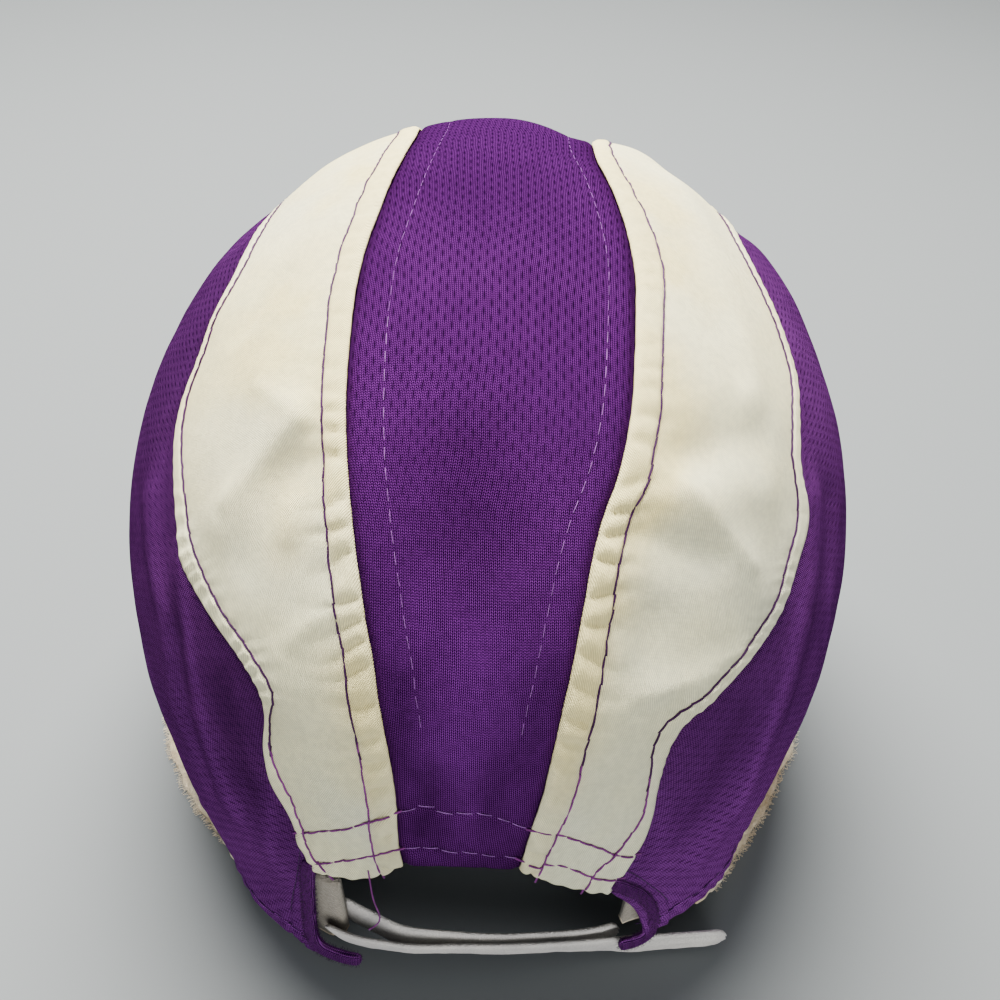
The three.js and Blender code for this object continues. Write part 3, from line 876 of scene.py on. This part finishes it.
def makeSweatband(name):
    size = sweatband
    rim, lip = hemHeight(bandBearing), lookUp(bandRows, 2, bandBearing)
    bottom = lookUp(bandRows, 1, bandBearing)
    hem = np.maximum(bottom + 0.9, rim - 0.8)
    folded = np.minimum(bandBearing, 360 - bandBearing)
    tuck = size["clear"] + size["tuck"] * fade(folded, 24, 40)
    # share of the way down: height, how far out the outer and the inner face stand
    stops = [
        (0, size["top"] + 0 * hem, 0, 0),
        (0.5, mix(size["top"], hem, 0.55), 0, 0),
        (0.72, hem, 0, 0),
        (0.8, mix(hem, bottom, 0.25), 0.6, 0.2),
        (0.9, mix(hem, bottom, 0.6), 1, 0.6),
        (1, bottom, 0.9, 0.75),
    ]
    keys = [stop[0] for stop in stops]
    outer, inner = [], []
    for share in np.linspace(0, 1, size["levels"]):
        k = min(np.searchsorted(keys, share, side="right") - 1, len(keys) - 2)
        t = (share - keys[k]) / (keys[k + 1] - keys[k])
        height, away, behind = (mix(a, b, t) for a, b in zip(stops[k][1:], stops[k + 1][1:]))
        reach = rimReach(bandBearing, np.maximum(height, rim)) - tuck
        outer.append(ringPoints(reach + away * lip, bandBearing, height))
        inner.append(ringPoints(reach + behind * lip - size["thick"], bandBearing, height))
    outer, inner = np.stack(outer, axis=1), np.stack(inner, axis=1)
    lumps = 0.28 * clothNoise(outer, 3.2, 81) + 0.3 * clothNoise(outer, 9, 82)
    free = smooth(np.linspace(0, 1, size["levels"]), 0.74, 0.86)[None, :]
    outer = outer + unit(outer * [1, 1, 0]) * (lumps * mix(0.3, 1.6, free))[..., None]
    outer[..., 2] = np.maximum(outer[..., 2], -crownForm["up"])
    along = runLength(outer, 0)[:, :1] + 0 * outer[..., 2]
    uv = np.stack([along, outer[..., 2]], axis=-1)
    piece = closedShell(name, outer, inner, uv, {"lip": free + 0 * along})
    return {"piece": piece, "outer": outer}


bandBearing = np.linspace(bandRows[0][0], bandRows[-1][0], sweatband["steps"] + 1)
band = makeSweatband("sweatbandTerry")
print("sweatband ready")

# Peak, bowed down at its corners, with rows of topstitching.

peakCloth = {
    "clear": 0.8,
    "reach": 134.0,
    "halfWidth": 72.0,
    "root": -29.0,
    "thick": 2.6,
    "firstBearing": 109.0,
    "lastBearing": 251.0,
    "bow": 2.2,
    "middleEdge": -50.5,
    "cornerEdge": -57.4,
    "droopWidth": 60.0,
    "columns": 181,
    "stitchDip": 0.28,
    "stitchRows": (3.0, 10.0, 17.0, 24.0, 31.0, 38.0),
}


def makePeak(name):
    size = peakCloth
    part = np.linspace(0, 1, size["columns"])
    bearing = mix(size["firstBearing"], size["lastBearing"], part)
    angle = mix(math.radians(2), math.pi - math.radians(2), part)
    cosine, sine = np.cos(angle), np.sin(angle)
    edgeX = size["halfWidth"] * np.sign(cosine) * np.abs(cosine) ** 0.78
    edgeY = size["root"] - size["reach"] * sine ** 0.82
    rootZ = hemHeight(bearing) - size["clear"]
    root = ringPoints(rimReach(bearing, rootZ) - 0.6, bearing, rootZ)
    droop = np.minimum(1, np.abs(edgeX) / size["droopWidth"]) ** 2
    edge = np.stack([edgeX, edgeY, mix(size["middleEdge"], size["cornerEdge"], droop)], axis=-1)
    t = acrossStops([(0.9, 49), (0.1, 21)])[..., None]
    top = mix(root[:, None], edge[:, None], t)
    top[..., 2] += size["bow"] * np.sin(np.pi * t[..., 0]) * (sine ** 2)[:, None]
    across = runLength(top, 1)
    far = across[:, -1:] - across
    rounded = size["thick"] * 0.5 * edgeCurl(far * 0.8)
    under = top.copy()
    under[..., 2] = np.maximum(top[..., 2] - size["thick"], -crownForm["up"])
    rowDip = size["stitchDip"] * sum(bell(far - row, 0.5) for row in size["stitchRows"])
    puff = 0.12 * clothNoise(top, 6, 91) + 0.1 * clothNoise(top, 20, 92)
    top[..., 2] += puff - rowDip - rounded
    under[..., 2] = np.minimum(under[..., 2] + rounded, top[..., 2] - 0.3)
    facing = unit(np.cross(np.gradient(top, axis=0), np.gradient(top, axis=1)))
    facing = facing * np.where(facing[..., 2:] < 0, -1, 1)
    piece = closedShell(name, top, under, top[..., :2].copy())
    return {"piece": piece, "outer": top, "facing": facing, "far": far}


peak = makePeak("peakCloth")
print("peak ready")

# Closure strap in two layers across the rear opening.

strapCloth = {"width": 8.8, "thick": 1.5, "fold": 0.4, "foldReach": 14, "steps": 240, "levels": 14}
# place of the upper edge, and how far the lower edge leans inwards: x, y, z, lean
outerStrapRows = [
    (29.8, 86.2, -44.6, 0.5),
    (25, 88.4, -44.4, 0.5),
    (19, 89.9, -44.2, 0.52),
    (10, 90.8, -44.2, 0.55),
    (1, 89.9, -44.4, 0.55),
    (-9, 88.6, -45, 0.55),
    (-18, 86.8, -46, 0.52),
    (-26, 84.6, -47.4, 0.46),
    (-33, 82.3, -48.8, 0.4),
    (-38, 80.8, -49.6, 0.28),
    (-43, 79.9, -50, 0.32),
    (-51, 78.8, -49.8, 0.34),
    (-59, 77.4, -49.8, 0.34),
]
innerStrapRows = [
    (27, 80.4, -42.4, 0.2),
    (20, 83.6, -42.8, 0.18),
    (12, 86.8, -43.2, 0.18),
    (2, 87, -43.8, 0.18),
    (-8, 86.2, -44.8, 0.18),
    (-17, 84.4, -45.8, 0.18),
    (-25, 82.2, -47, 0.18),
    (-31, 80, -48, 0.18),
    (-35, 77.8, -48.6, 0.18),
]


def makeStrap(name, rows, seed):
    size = strapCloth
    at = np.linspace(0, len(rows) - 1, size["steps"] + 1)
    x, y, top, lean = (curveColumn(rows, k, at) for k in range(4))
    path = np.stack([x, y], axis=-1)
    tangent = unit(np.gradient(path, axis=0))
    out = np.stack([tangent[:, 1], -tangent[:, 0], 0 * x], axis=-1)
    share = np.linspace(0, 1, size["levels"])[None, :]
    reach = runLength(path, 0)
    ends = np.minimum(reach, reach[-1] - reach)
    rounded = np.sqrt(np.clip(1 - np.clip(1 - ends / 3, 0, 1) ** 2, 0.12, 1))
    fall = size["width"] * (0.5 + (share - 0.5) * rounded[:, None])
    start = np.stack([x, y, top], axis=-1)[:, None]
    middle = start - out[:, None] * (lean[:, None] * fall)[..., None]
    middle[..., 2] -= fall
    body = np.clip(1 - (2 * share - 1) ** 8, 0.25, 1) ** 0.5
    fold = bell(reach[-1] - reach, size["foldReach"])[:, None] * np.cos(4 * np.pi * share)
    pile = 0.1 * clothNoise(middle, 1.6, seed) + 0.16 * clothNoise(middle, 7, seed + 1)
    half = size["thick"] / 2 * body * np.maximum(rounded, 0.5)[:, None]
    outer = middle + out[:, None] * (half + (pile + size["fold"] * fold) * body)[..., None]
    inner = middle - out[:, None] * (half - pile * body)[..., None]
    uv = np.stack([runLength(middle, 0), fall + 0 * middle[..., 0]], axis=-1)
    return closedShell(name, outer, inner, uv)


outerStrap = makeStrap("closureStrapOuterPile", outerStrapRows, 101)
innerStrap = makeStrap("closureStrapInnerPile", innerStrapRows, 111)
print("straps ready")

# Threads. Each line of stitches is a path on the cloth with the cloth's facing stored along it.

# length, gap, width, rise (mm), wobble, seed, colour
threadWork = {
    "purple": (2.7, -0.15, 0.48, 0.14, 0.13, 3, (0.036, 0.004, 0.046, 1)),
    "faint": (3.6, 1.3, 0.13, 0.05, 0.06, 5, (0.215, 0.075, 0.280, 1)),
    "veiled": (3.6, 1.3, 0.12, 0.03, 0.06, 4, (0.130, 0.028, 0.185, 1)),
    "pale": (3.4, 0.5, 0.18, 0.12, 0.07, 6, (0.270, 0.105, 0.350, 1)),
    "hidden": (3.0, 0.3, 0.22, 0.06, 0.04, 7, (0.030, 0.003, 0.050, 1)),
    "hem": (2.9, -0.2, 0.42, 0.2, 0.05, 9, (0.165, 0.024, 0.168, 1)),
}
stitchInputs = ("Stitch Length", "Stitch Gap", "Thread Width", "Thread Rise", "Wobble")


class Wire:
    # a node's output that takes plain arithmetic
    def __init__(self, socket):
        self.socket, self.tree = socket, socket.id_data

    def math(self, operation, *others):
        inputs = dict(enumerate((self, *others)))
        return wire(self.tree, "ShaderNodeMath", inputs, operation=operation)

    def __add__(self, other):
        return self.math("ADD", other)

    def __sub__(self, other):
        return self.math("SUBTRACT", other)

    def __mul__(self, other):
        return self.math("MULTIPLY", other)

    def __truediv__(self, other):
        return self.math("DIVIDE", other)


def wire(tree, kind, inputs=None, output=0, **settings):
    node = tree.nodes.new(kind)
    for key, value in settings.items():
        setattr(node, key, value)
    for key, value in (inputs or {}).items():
        if isinstance(value, Wire):
            tree.links.new(value.socket, node.inputs[key])
        else:
            node.inputs[key].default_value = value
    return Wire(node.outputs[output]) if node.outputs else None


def newTree(name, source, numbers, material, result):
    tree = bpy.data.node_groups.new(name, "GeometryNodeTree")
    kinds = {source: "Geometry", **{label: "Float" for label in numbers}}
    kinds.update({"Seed": "Int", material: "Material"})
    for label, kind in kinds.items():
        tree.interface.new_socket(label, in_out="INPUT", socket_type="NodeSocket" + kind)
    tree.interface.new_socket(result, in_out="OUTPUT", socket_type="NodeSocketGeometry")
    outputs = tree.nodes.new("NodeGroupInput").outputs
    return tree, {label: Wire(outputs[label]) for label in kinds}


def strandOf(tree, resolution, width, start, middle, end):
    a, b, c = (wire(tree, "ShaderNodeCombineXYZ", {"X": x, "Z": z})
               for x, z in (start, middle, end))
    arch = wire(tree, "GeometryNodeCurveQuadraticBezier",
                {"Resolution": resolution, "Start": a, "Middle": b, "End": c})
    profile = wire(tree, "GeometryNodeCurvePrimitiveCircle",
                   {"Resolution": resolution, "Radius": width * 0.5}, mode="RADIUS")
    return wire(tree, "GeometryNodeCurveToMesh",
                {"Curve": arch, "Profile Curve": profile, "Fill Caps": True})


def finishTree(tree, points, strand, rotation, material, result):
    placed = wire(tree, "GeometryNodeInstanceOnPoints",
                  {"Points": points, "Instance": strand, "Rotation": rotation})
    real = wire(tree, "GeometryNodeRealizeInstances", {"Geometry": placed})
    done = wire(tree, "GeometryNodeSetMaterial", {"Geometry": real, "Material": material})
    wire(tree, "NodeGroupOutput", {result: done})
    return tree


def buildStitchTree():
    tree, given = newTree("stitchLine", "Line", stitchInputs, "Thread", "Stitches")
    length, gap, width, rise, wobble = (given[label] for label in stitchInputs)
    line = wire(tree, "GeometryNodeMeshToCurve", {"Mesh": given["Line"]})
    spaced = wire(tree, "GeometryNodeResampleCurve", {"Curve": line, "Length": length},
                  mode="LENGTH")
    reach, sink = length - gap, width * -0.08
    stitch = strandOf(tree, 6, width, (reach * -0.5, sink), (0.0, rise * 2.0), (reach * 0.5, sink))
    spread = wire(tree, "FunctionNodeRandomValue",
                  {"Min": wobble * -1.0, "Max": wobble, "Seed": given["Seed"]},
                  data_type="FLOAT_VECTOR")
    tangent = wire(tree, "GeometryNodeInputTangent")
    aim = wire(tree, "ShaderNodeVectorMath", {0: tangent, 1: spread}, operation="ADD")
    facing = wire(tree, "GeometryNodeInputNamedAttribute", {"Name": "facing"},
                  data_type="FLOAT_VECTOR")
    upright = wire(tree, "FunctionNodeAlignRotationToVector", {"Vector": facing}, axis="Z")
    turned = wire(tree, "FunctionNodeAlignRotationToVector", {"Rotation": upright, "Vector": aim},
                  axis="X", pivot_axis="Z")
    return finishTree(tree, spaced, stitch, turned, given["Thread"], "Stitches")


def realMesh(holder, name, tree=None, values=None):
    if tree:
        modifier = holder.modifiers.new("work", "NODES")
        modifier.node_group = tree
        for item in tree.interface.items_tree:
            if item.name in values:
                modifier[item.identifier] = values[item.name]
    graph = bpy.context.evaluated_depsgraph_get()
    mesh = bpy.data.meshes.new_from_object(holder.evaluated_get(graph),
                                           preserve_all_data_layers=True, depsgraph=graph)
    holder.modifiers.clear()
    bpy.data.batch_remove([holder, holder.data])
    mesh.name = name
    mesh.polygons.foreach_set("use_smooth", np.ones(len(mesh.polygons), bool))
    return linked(name, mesh)


def sewLines(name, lines, kind):
    points, edges, facing = [], [], []
    for path, lift in lines:
        first = len(points)
        points.extend(toMetres(path + lift * 0.04).tolist())
        facing.extend(lift.tolist())
        edges.extend((first + k, first + k + 1) for k in range(len(path) - 1))
    mesh = bpy.data.meshes.new(name + "Path")
    mesh.from_pydata(points, edges, [])
    attribute = mesh.attributes.new("facing", "FLOAT_VECTOR", "POINT")
    attribute.data.foreach_set("vector", np.array(facing, np.float32).ravel())
    *sizes, wobble, seed, _ = threadWork[kind]
    values = dict(zip(stitchInputs, [size / 1000 for size in sizes] + [wobble]))
    values.update({"Seed": seed, "Thread": threads[kind]})
    return realMesh(linked(name + "Path", mesh), name, stitchTree, values)


def seamLines(grids, keys, turned=False, keep=slice(None)):
    lines = []
    for grid in grids:
        points, facing = grid["outer"], grid["facing"]
        if turned:
            points, facing = np.swapaxes(points, 0, 1), np.swapaxes(facing, 0, 1)
        for key in keys:
            path, lift = traceLine(grid[key].T if turned else grid[key], points, facing)
            lines.append((path[keep], lift[keep]))
    return lines


# Materials. Lengths of the cloth's pattern are in millimetres.

purpleLook = {
    "light": (0.136, 0.023, 0.188, 1),
    "sideLight": (0.150, 0.036, 0.186, 1),
    "dark": (0.009, 0.0, 0.017, 1),
    # hole: near black painted into the openings of the mesh, painted shade of the hollow seen
    # through them
    "hole": (0.004, 0.0, 0.009, 1),
    "columnPitch": 1.385,
    "holePitch": 3.5,
    "holeWidth": 0.2,
    "holeLength": 0.95,
    "wale": 0.6925,
    "course": 0.5,
}
whiteLook = {
    "clean": (0.86, 0.825, 0.51, 1),
    "cool": (0.75, 0.75, 0.55, 1),
    "yellow": (0.80, 0.68, 0.30, 1),
    "twill": 0.5,
    "crossTwill": 0.31,
}
terryLook = {
    # inside: the part of the band up inside the crown, painted darker than the lip as painted shade
    "inside": (0.30, 0.27, 0.22, 1),
    "clean": (0.78, 0.68, 0.50, 1),
    "stain": (0.58, 0.40, 0.20, 1),
}
strapLook = {"pale": (0.64, 0.61, 0.56, 1), "grey": (0.40, 0.38, 0.37, 1)}


def newMaterial(name):
    material = bpy.data.materials.new(name)
    material.use_nodes = True
    material.node_tree.nodes.clear()
    return material, material.node_tree


def finishMaterial(material, colour, roughness, specular=0.5, sheen=0.0, tint=(1, 1, 1, 1),
                   relief=None, depth=0.0):
    tree = material.node_tree
    inputs = {
        "Base Color": colour,
        "Roughness": roughness,
        "Specular IOR Level": specular,
        "Sheen Weight": sheen,
        "Sheen Roughness": 0.45,
        "Sheen Tint": tint,
    }
    if relief:
        inputs["Normal"] = wire(tree, "ShaderNodeBump", {"Distance": depth, "Height": relief})
    shader = wire(tree, "ShaderNodeBsdfPrincipled", inputs)
    wire(tree, "ShaderNodeOutputMaterial", {"Surface": shader})
    return material


def mixColour(share, a, b):
    return wire(share.tree, "ShaderNodeMix", {0: share, 6: a, 7: b}, 2, data_type="RGBA")


def dimmed(colour, grey):
    tone = wire(grey.tree, "ShaderNodeCombineColor", {0: grey, 1: grey, 2: grey})
    return wire(grey.tree, "ShaderNodeMix", {0: 1.0, 6: colour, 7: tone}, 2,
                data_type="RGBA", blend_type="MULTIPLY")


def ramp(value, fromLow, fromHigh, toLow=0.0, toHigh=1.0):
    inputs = {0: value, 1: fromLow, 2: fromHigh, 3: toLow, 4: toHigh}
    return wire(value.tree, "ShaderNodeMapRange", inputs, interpolation_type="SMOOTHSTEP")


def noiseOf(tree, scale, detail=2.0):
    place = wire(tree, "ShaderNodeTexCoord", None, "Object")
    return wire(tree, "ShaderNodeTexNoise", {"Scale": scale, "Detail": detail, "Vector": place})


def attributeOf(tree, name):
    return wire(tree, "ShaderNodeAttribute", None, "Fac", attribute_name=name)


def clothCoordinates(tree):
    uv = wire(tree, "ShaderNodeUVMap", uv_map="cloth")
    return [wire(tree, "ShaderNodeSeparateXYZ", {0: uv}, part) for part in (0, 1)]


def purpleMaterial(name, light):
    look = purpleLook
    material, tree = newMaterial(name)
    u, v = clothCoordinates(tree)
    u = u + ramp(noiseOf(tree, 60, 1.0), 0.3, 0.7, -0.25, 0.25)
    column = u / look["columnPitch"]
    stagger = column.math("FLOOR").math("FLOORED_MODULO", 2.0) * 0.5
    inRow = (v / look["holePitch"] + stagger).math("FRACT") - 0.5
    inColumn = column.math("FRACT") - 0.5
    sideways = (inColumn + inRow * 0.1) * (look["columnPitch"] / look["holeWidth"])
    lengthways = inRow * (look["holePitch"] / look["holeLength"])
    away = (sideways * sideways + lengthways * lengthways).math("SQRT")
    hole = ramp(away, 0.3, 1.6, 1.0, 0.0) * attributeOf(tree, "holes")
    leg = ((u / look["wale"]).math("FRACT") - 0.5).math("ABSOLUTE")
    loop = ((v / look["course"] + leg * 1.3) * (2 * math.pi)).math("COSINE")
    knit = ((leg - 0.25) * (4 * math.pi)).math("COSINE") * 0.5 + loop * 0.35
    patches = ramp(noiseOf(tree, 25, 3.0), 0.3, 0.7, 0.7, 0.95)
    colour = mixColour(ramp(knit, -0.5, 0.88) * patches, look["dark"], light)
    # painted light and shade: the panel's painted highlights and painted shade brighten and darken
    # the knit colour
    paintedGain = (attributeOf(tree, "paintedLight") * 0.42 + 1.0).math("MAXIMUM", 0.4)
    colour = dimmed(colour, paintedGain * ramp(noiseOf(tree, 500), 0.3, 0.7, 0.92, 1.08))
    # the openings of the mesh are painted near black, painted shade in place of real holes
    colour = mixColour(hole * 0.8, colour, look["hole"])
    relief = knit * (attributeOf(tree, "ruffle") * 1.4 + 0.4) - hole
    return finishMaterial(material, colour, 0.5, 0.0, relief=relief, depth=0.00022)


def whiteMaterial(name):
    look = whiteLook
    material, tree = newMaterial(name)
    u, v = clothCoordinates(tree)
    first = ((u + v) * (2 * math.pi / look["twill"])).math("COSINE")
    second = ((u - v) * (2 * math.pi / look["crossTwill"])).math("COSINE")
    weave = first * 0.5 + second * 0.25
    colour = mixColour(ramp(noiseOf(tree, 22, 3.0), 0.35, 0.65), look["clean"], look["cool"])
    blotch = ramp(noiseOf(tree, 38, 4.0), 0.38, 0.66)
    stain = attributeOf(tree, "innerBand") * (blotch * 0.35 + 0.42)
    faded = attributeOf(tree, "seamFade") * (blotch * 0.32)
    wide = ramp(noiseOf(tree, 12), 0.45, 0.75) * 0.2
    marked = attributeOf(tree, "yellowed") * ramp(blotch, 0, 1, 0.6, 1)
    share = stain.math("MAXIMUM", faded).math("MAXIMUM", wide) + marked
    colour = mixColour(share.math("MINIMUM", 0.95), colour, look["yellow"])
    tone = (weave * 0.32 + 0.93) * ramp(noiseOf(tree, 700), 0.3, 0.7, 0.93, 1.04)
    relief = noiseOf(tree, 1400) * 0.5 + weave * 0.5
    return finishMaterial(material, dimmed(colour, tone), 0.62, 0.15, 0.1, (1, 0.98, 0.92, 1),
                          relief, 0.0003)


def terryMaterial(name):
    look = terryLook
    material, tree = newMaterial(name)
    pile = noiseOf(tree, 1700, 3.0)
    blotch = ramp(noiseOf(tree, 60, 4.0), 0.4, 0.68)
    colour = mixColour(blotch * 0.75, look["clean"], look["stain"])
    # above the lip the band takes the darker inside colour, painted shade inside the crown
    colour = mixColour(attributeOf(tree, "lip"), look["inside"], colour)
    colour = dimmed(colour, ramp(pile, 0.25, 0.75, 0.72, 1.0))
    return finishMaterial(material, colour, 0.9, 0.15, 0.3, (1, 0.95, 0.85, 1), pile, 0.0006)


def strapMaterial(name):
    material, tree = newMaterial(name)
    pile = noiseOf(tree, 2200, 3.0)
    blotch = ramp(noiseOf(tree, 90, 3.0), 0.35, 0.7, 0.0, 0.6)
    colour = mixColour(blotch, strapLook["pale"], strapLook["grey"])
    colour = dimmed(colour, ramp(pile, 0.25, 0.75, 0.8, 1.0))
    return finishMaterial(material, colour, 0.85, 0.2, 0.3, (1, 1, 1, 1), pile, 0.0004)


def threadMaterial(name, colour):
    material, tree = newMaterial(name)
    deep = tuple(0.55 * part for part in colour[:3]) + (1,)
    tone = mixColour(ramp(noiseOf(tree, 900), 0.3, 0.7), deep, colour)
    return finishMaterial(material, tone, 0.6, 0.12, 0.06, (1, 0.8, 1, 1),
                          noiseOf(tree, 3000, 1.0), 0.00006)


centreMaterial = purpleMaterial("purpleMeshUpright", purpleLook["light"])
sideMaterial = purpleMaterial("purpleMeshSide", purpleLook["sideLight"])
creamMaterial = whiteMaterial("creamTwill")
bandMaterial = terryMaterial("stainedTerry")
pileMaterial = strapMaterial("strapPile")
threads = {key: threadMaterial(key + "Thread", row[-1]) for key, row in threadWork.items()}
print("materials ready")

stitchTree = buildStitchTree()
whites, sides = [[crown[key + label] for label in ("Left", "Right")] for key in ("white", "side")]
seams, hems = ("nearStitch", "farStitch"), ("upperHem", "lowerHem")
centre = [crown["centre"]]
# thread, lines; a slice keeps the part of a line that this thread sews
sewn = {
    "purpleSeamThread": ("purple", seamLines(whites, seams, keep=slice(56, None))),
    "purpleHemThread": ("hem", seamLines(whites, hems, True)
                        + seamLines(whites, seams, keep=slice(0, 58))),
    "faintCentreThread": ("faint", seamLines(centre, seams, keep=slice(66, 189))),
    "veiledCentreThread": ("veiled", seamLines(centre, seams, keep=slice(188, None))),
    "paleHemThread": ("pale", seamLines(centre, hems, True)),
    "tabThread": ("hidden", seamLines(sides, ("firstTab", "secondTab"), True, slice(0, 68))
                  + seamLines(sides, ("rimStitch",))),
    "peakThread": ("purple", [traceLine(reach - peak["far"], peak["outer"], peak["facing"])
                              for reach in peakCloth["stitchRows"]]),
}
sewnPieces = [sewLines(name, lines, kind) for name, (kind, lines) in sewn.items()]
print("stitches ready")

# Short loose fibres on the lip of the sweatband and on the rolled tab hems

fibreInputs = ("Density", "Fibre Length", "Fibre Width")
# fibres on a square millimetre, length, width, seed
fuzzWork = {"lip": (2.6, 1.5, 0.12, 11), "roll": (5.0, 0.55, 0.05, 13)}
lipStart = 17  # first level of the sweatband that belongs to the lip


def buildFuzzTree():
    tree, given = newTree("looseFibres", "Surface", fibreInputs, "Fibre", "Fibres")
    density, length, width = (given[label] for label in fibreInputs)
    fibre = strandOf(tree, 3, width, (0.0, length * -0.2), (0.0, length), (length * 0.45, length))
    fibre = wire(tree, "GeometryNodeStoreNamedAttribute",
                 {"Geometry": fibre, "Name": "lip", "Value": 1.0})
    points = wire(tree, "GeometryNodeDistributePointsOnFaces",
                  {"Mesh": given["Surface"], "Density": density, "Seed": given["Seed"]})
    normal = Wire(points.socket.node.outputs["Normal"])
    stray = wire(tree, "FunctionNodeRandomValue",
                 {"Min": (-1, -1, -1), "Max": (1, 1, 1), "Seed": given["Seed"]},
                 data_type="FLOAT_VECTOR")
    aim = wire(tree, "ShaderNodeVectorMath", {0: normal, 1: stray}, operation="ADD")
    turned = wire(tree, "FunctionNodeAlignRotationToVector", {"Vector": aim}, axis="Z")
    return finishTree(tree, points, fibre, turned, given["Fibre"], "Fibres")


def growFuzz(name, surface, middle, kind, fibre):
    quads = gridQuads(np.arange(surface[..., 0].size).reshape(surface.shape[:2]))
    corner = surface[:-1, :-1]
    outward = np.cross(surface[1:, :-1] - corner, surface[:-1, 1:] - corner)
    if np.sum(outward * (corner - middle)) < 0:
        quads = quads[:, ::-1]
    holder = newMesh(name + "Surface", surface.reshape(-1, 3), quads.tolist())
    density, length, width, seed = fuzzWork[kind]
    values = dict(zip(fibreInputs, (density * 1e6, length / 1000, width / 1000)))
    return realMesh(holder, name, fuzzTree, {**values, "Seed": seed, "Fibre": fibre})


def finishPiece(piece, slot, material=None, node=None):
    if material:
        piece.data.materials.clear()
        piece.data.materials.append(material)
    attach(piece, "root")
    if node:
        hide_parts(node)


fuzzTree = buildFuzzTree()
for label, low, high in (("Left", 42, 106), ("Right", 254, 318)):
    lip = band["outer"][(bandBearing > low) & (bandBearing < high)][:, lipStart:]
    finishPiece(growFuzz("lipFuzz" + label, lip, 0, "lip", bandMaterial), "stained_terry")
for label, (_, rings) in zip(("Left", "Right"), rolls):
    core = rings.mean(axis=1, keepdims=True)[:-1]
    finishPiece(growFuzz("tabFuzz" + label, rings, core, "roll", threads["purple"]), "purple_mesh")
print("fuzz ready")


# Loose thread tail at the end of the left seam stitching
def looseThread(name, points, width):
    curve = bpy.data.curves.new(name, "CURVE")
    curve.dimensions = "3D"
    curve.bevel_depth = width / 2000
    curve.bevel_resolution = 2
    curve.use_fill_caps = True
    spline = curve.splines.new("NURBS")
    spline.points.add(len(points) - 1)
    for slot, point in zip(spline.points, toMetres(points)):
        slot.co = (*point, 1)
    spline.order_u = 4
    spline.use_endpoint_u = True
    spline.resolution_u = 8
    return realMesh(linked(name, curve), name)


tailPoints = [(17.6, 96.8, -12.5), (17.2, 97.4, -15), (17, 97, -20), (16.3, 96, -25),
              (15.6, 95, -29), (16, 94.4, -32.5), (18.2, 94, -35)]
looseTail = looseThread("looseThreadTail", tailPoints, 0.34)

# piece, slot, material, replaced node
finishes = [
    (crown["centre"]["piece"], "purple_mesh", centreMaterial, "centre_panel"),
    (crown["whiteLeft"]["piece"], "cream_cloth", creamMaterial, "white_panel_left"),
    (crown["whiteRight"]["piece"], "cream_cloth", creamMaterial, "white_panel_right"),
    (crown["sideLeft"]["piece"], "purple_mesh", sideMaterial, "side_panel_left"),
    (crown["sideRight"]["piece"], "purple_mesh", sideMaterial, "side_panel_right"),
    (band["piece"], "stained_terry", bandMaterial, "sweatband"),
    (peak["piece"], "cream_cloth", creamMaterial, "peak"),
    (outerStrap, "strap_cloth", pileMaterial, "closure_strap_outer"),
    (innerStrap, "strap_cloth", pileMaterial, "closure_strap_inner"),
]
finishes += [(roll, "purple_mesh", sideMaterial) for roll, _ in rolls]
finishes += [(tape, "stained_terry", bandMaterial) for tape, _ in tapes]
finishes += [(piece, "purple_mesh") for piece in sewnPieces]
finishes += [(looseTail, "purple_mesh", threads["hem"])]
for row in finishes:
    finishPiece(*row)

# Floor, light and camera

studio = {
    "floorSize": 6.0,
    "floorTone": (0.100, 0.109, 0.112, 1),
    "roomTone": (0.86, 0.9, 0.95, 1),
    "roomStrength": 0.42,
    "cameraPlace": (2.592, 5.549),
    "distance": 321.494,
    "azimuth": -1.152,
    "elevation": 36.0,
    "roll": 2.819,
    "focal": 1302.782,
}
# place, target, size, power, colour
lights = {
    "overheadSoftLight": ((0.12, -0.32, 0.95), (0, 0, 0.1), 0.8, 92, (1, 0.975, 0.93)),
    "rearFillLight": ((-0.15, 1.05, 0.34), (0, 0.08, 0.03), 0.7, 10.5, (0.97, 0.98, 1)),
}


def makeFloor():
    half = studio["floorSize"] / 2
    mesh = bpy.data.meshes.new("studioFloor")
    mesh.from_pydata([(-half, -half, 0), (half, -half, 0), (half, half, 0), (-half, half, 0)],
                     [], [(0, 1, 2, 3)])
    material, _ = newMaterial("paleFloor")
    mesh.materials.append(finishMaterial(material, studio["floorTone"], 0.8))
    linked("studioFloor", mesh)


def makeCamera():
    azimuth, elevation, roll = (math.radians(studio[key])
                                for key in ("azimuth", "elevation", "roll"))
    turn = Matrix.Rotation(math.pi - azimuth, 4, "Z")
    turn = turn @ Matrix.Rotation(math.pi / 2 - elevation, 4, "X") @ Matrix.Rotation(roll, 4, "Z")
    place = turn @ Vector((*studio["cameraPlace"], studio["distance"]))
    data = bpy.data.cameras.new("photoCamera")
    data.sensor_fit = "HORIZONTAL"
    data.sensor_width = 36
    data.lens = studio["focal"] / 1000 * data.sensor_width
    data.clip_start = 0.01
    data.clip_end = 20
    camera = linked("photoCamera", data)
    camera.matrix_world = Matrix.Translation(toMetres(place)) @ turn
    bpy.context.scene.camera = camera


def makeLight(name, place, target, size, power, colour):
    data = bpy.data.lights.new(name, "AREA")
    data.shape = "DISK"
    data.size = size
    data.energy = power
    data.color = colour
    light = linked(name, data)
    light.location = place
    light.rotation_euler = (Vector(target) - Vector(place)).to_track_quat("-Z", "Y").to_euler()


def makeWorld():
    world = bpy.data.worlds.new("softRoom")
    world.use_nodes = True
    background = world.node_tree.nodes["Background"]
    background.inputs["Color"].default_value = studio["roomTone"]
    background.inputs["Strength"].default_value = studio["roomStrength"]
    bpy.context.scene.world = world


makeFloor()
makeCamera()
makeWorld()
for name, light in lights.items():
    makeLight(name, *light)
print("studio ready")
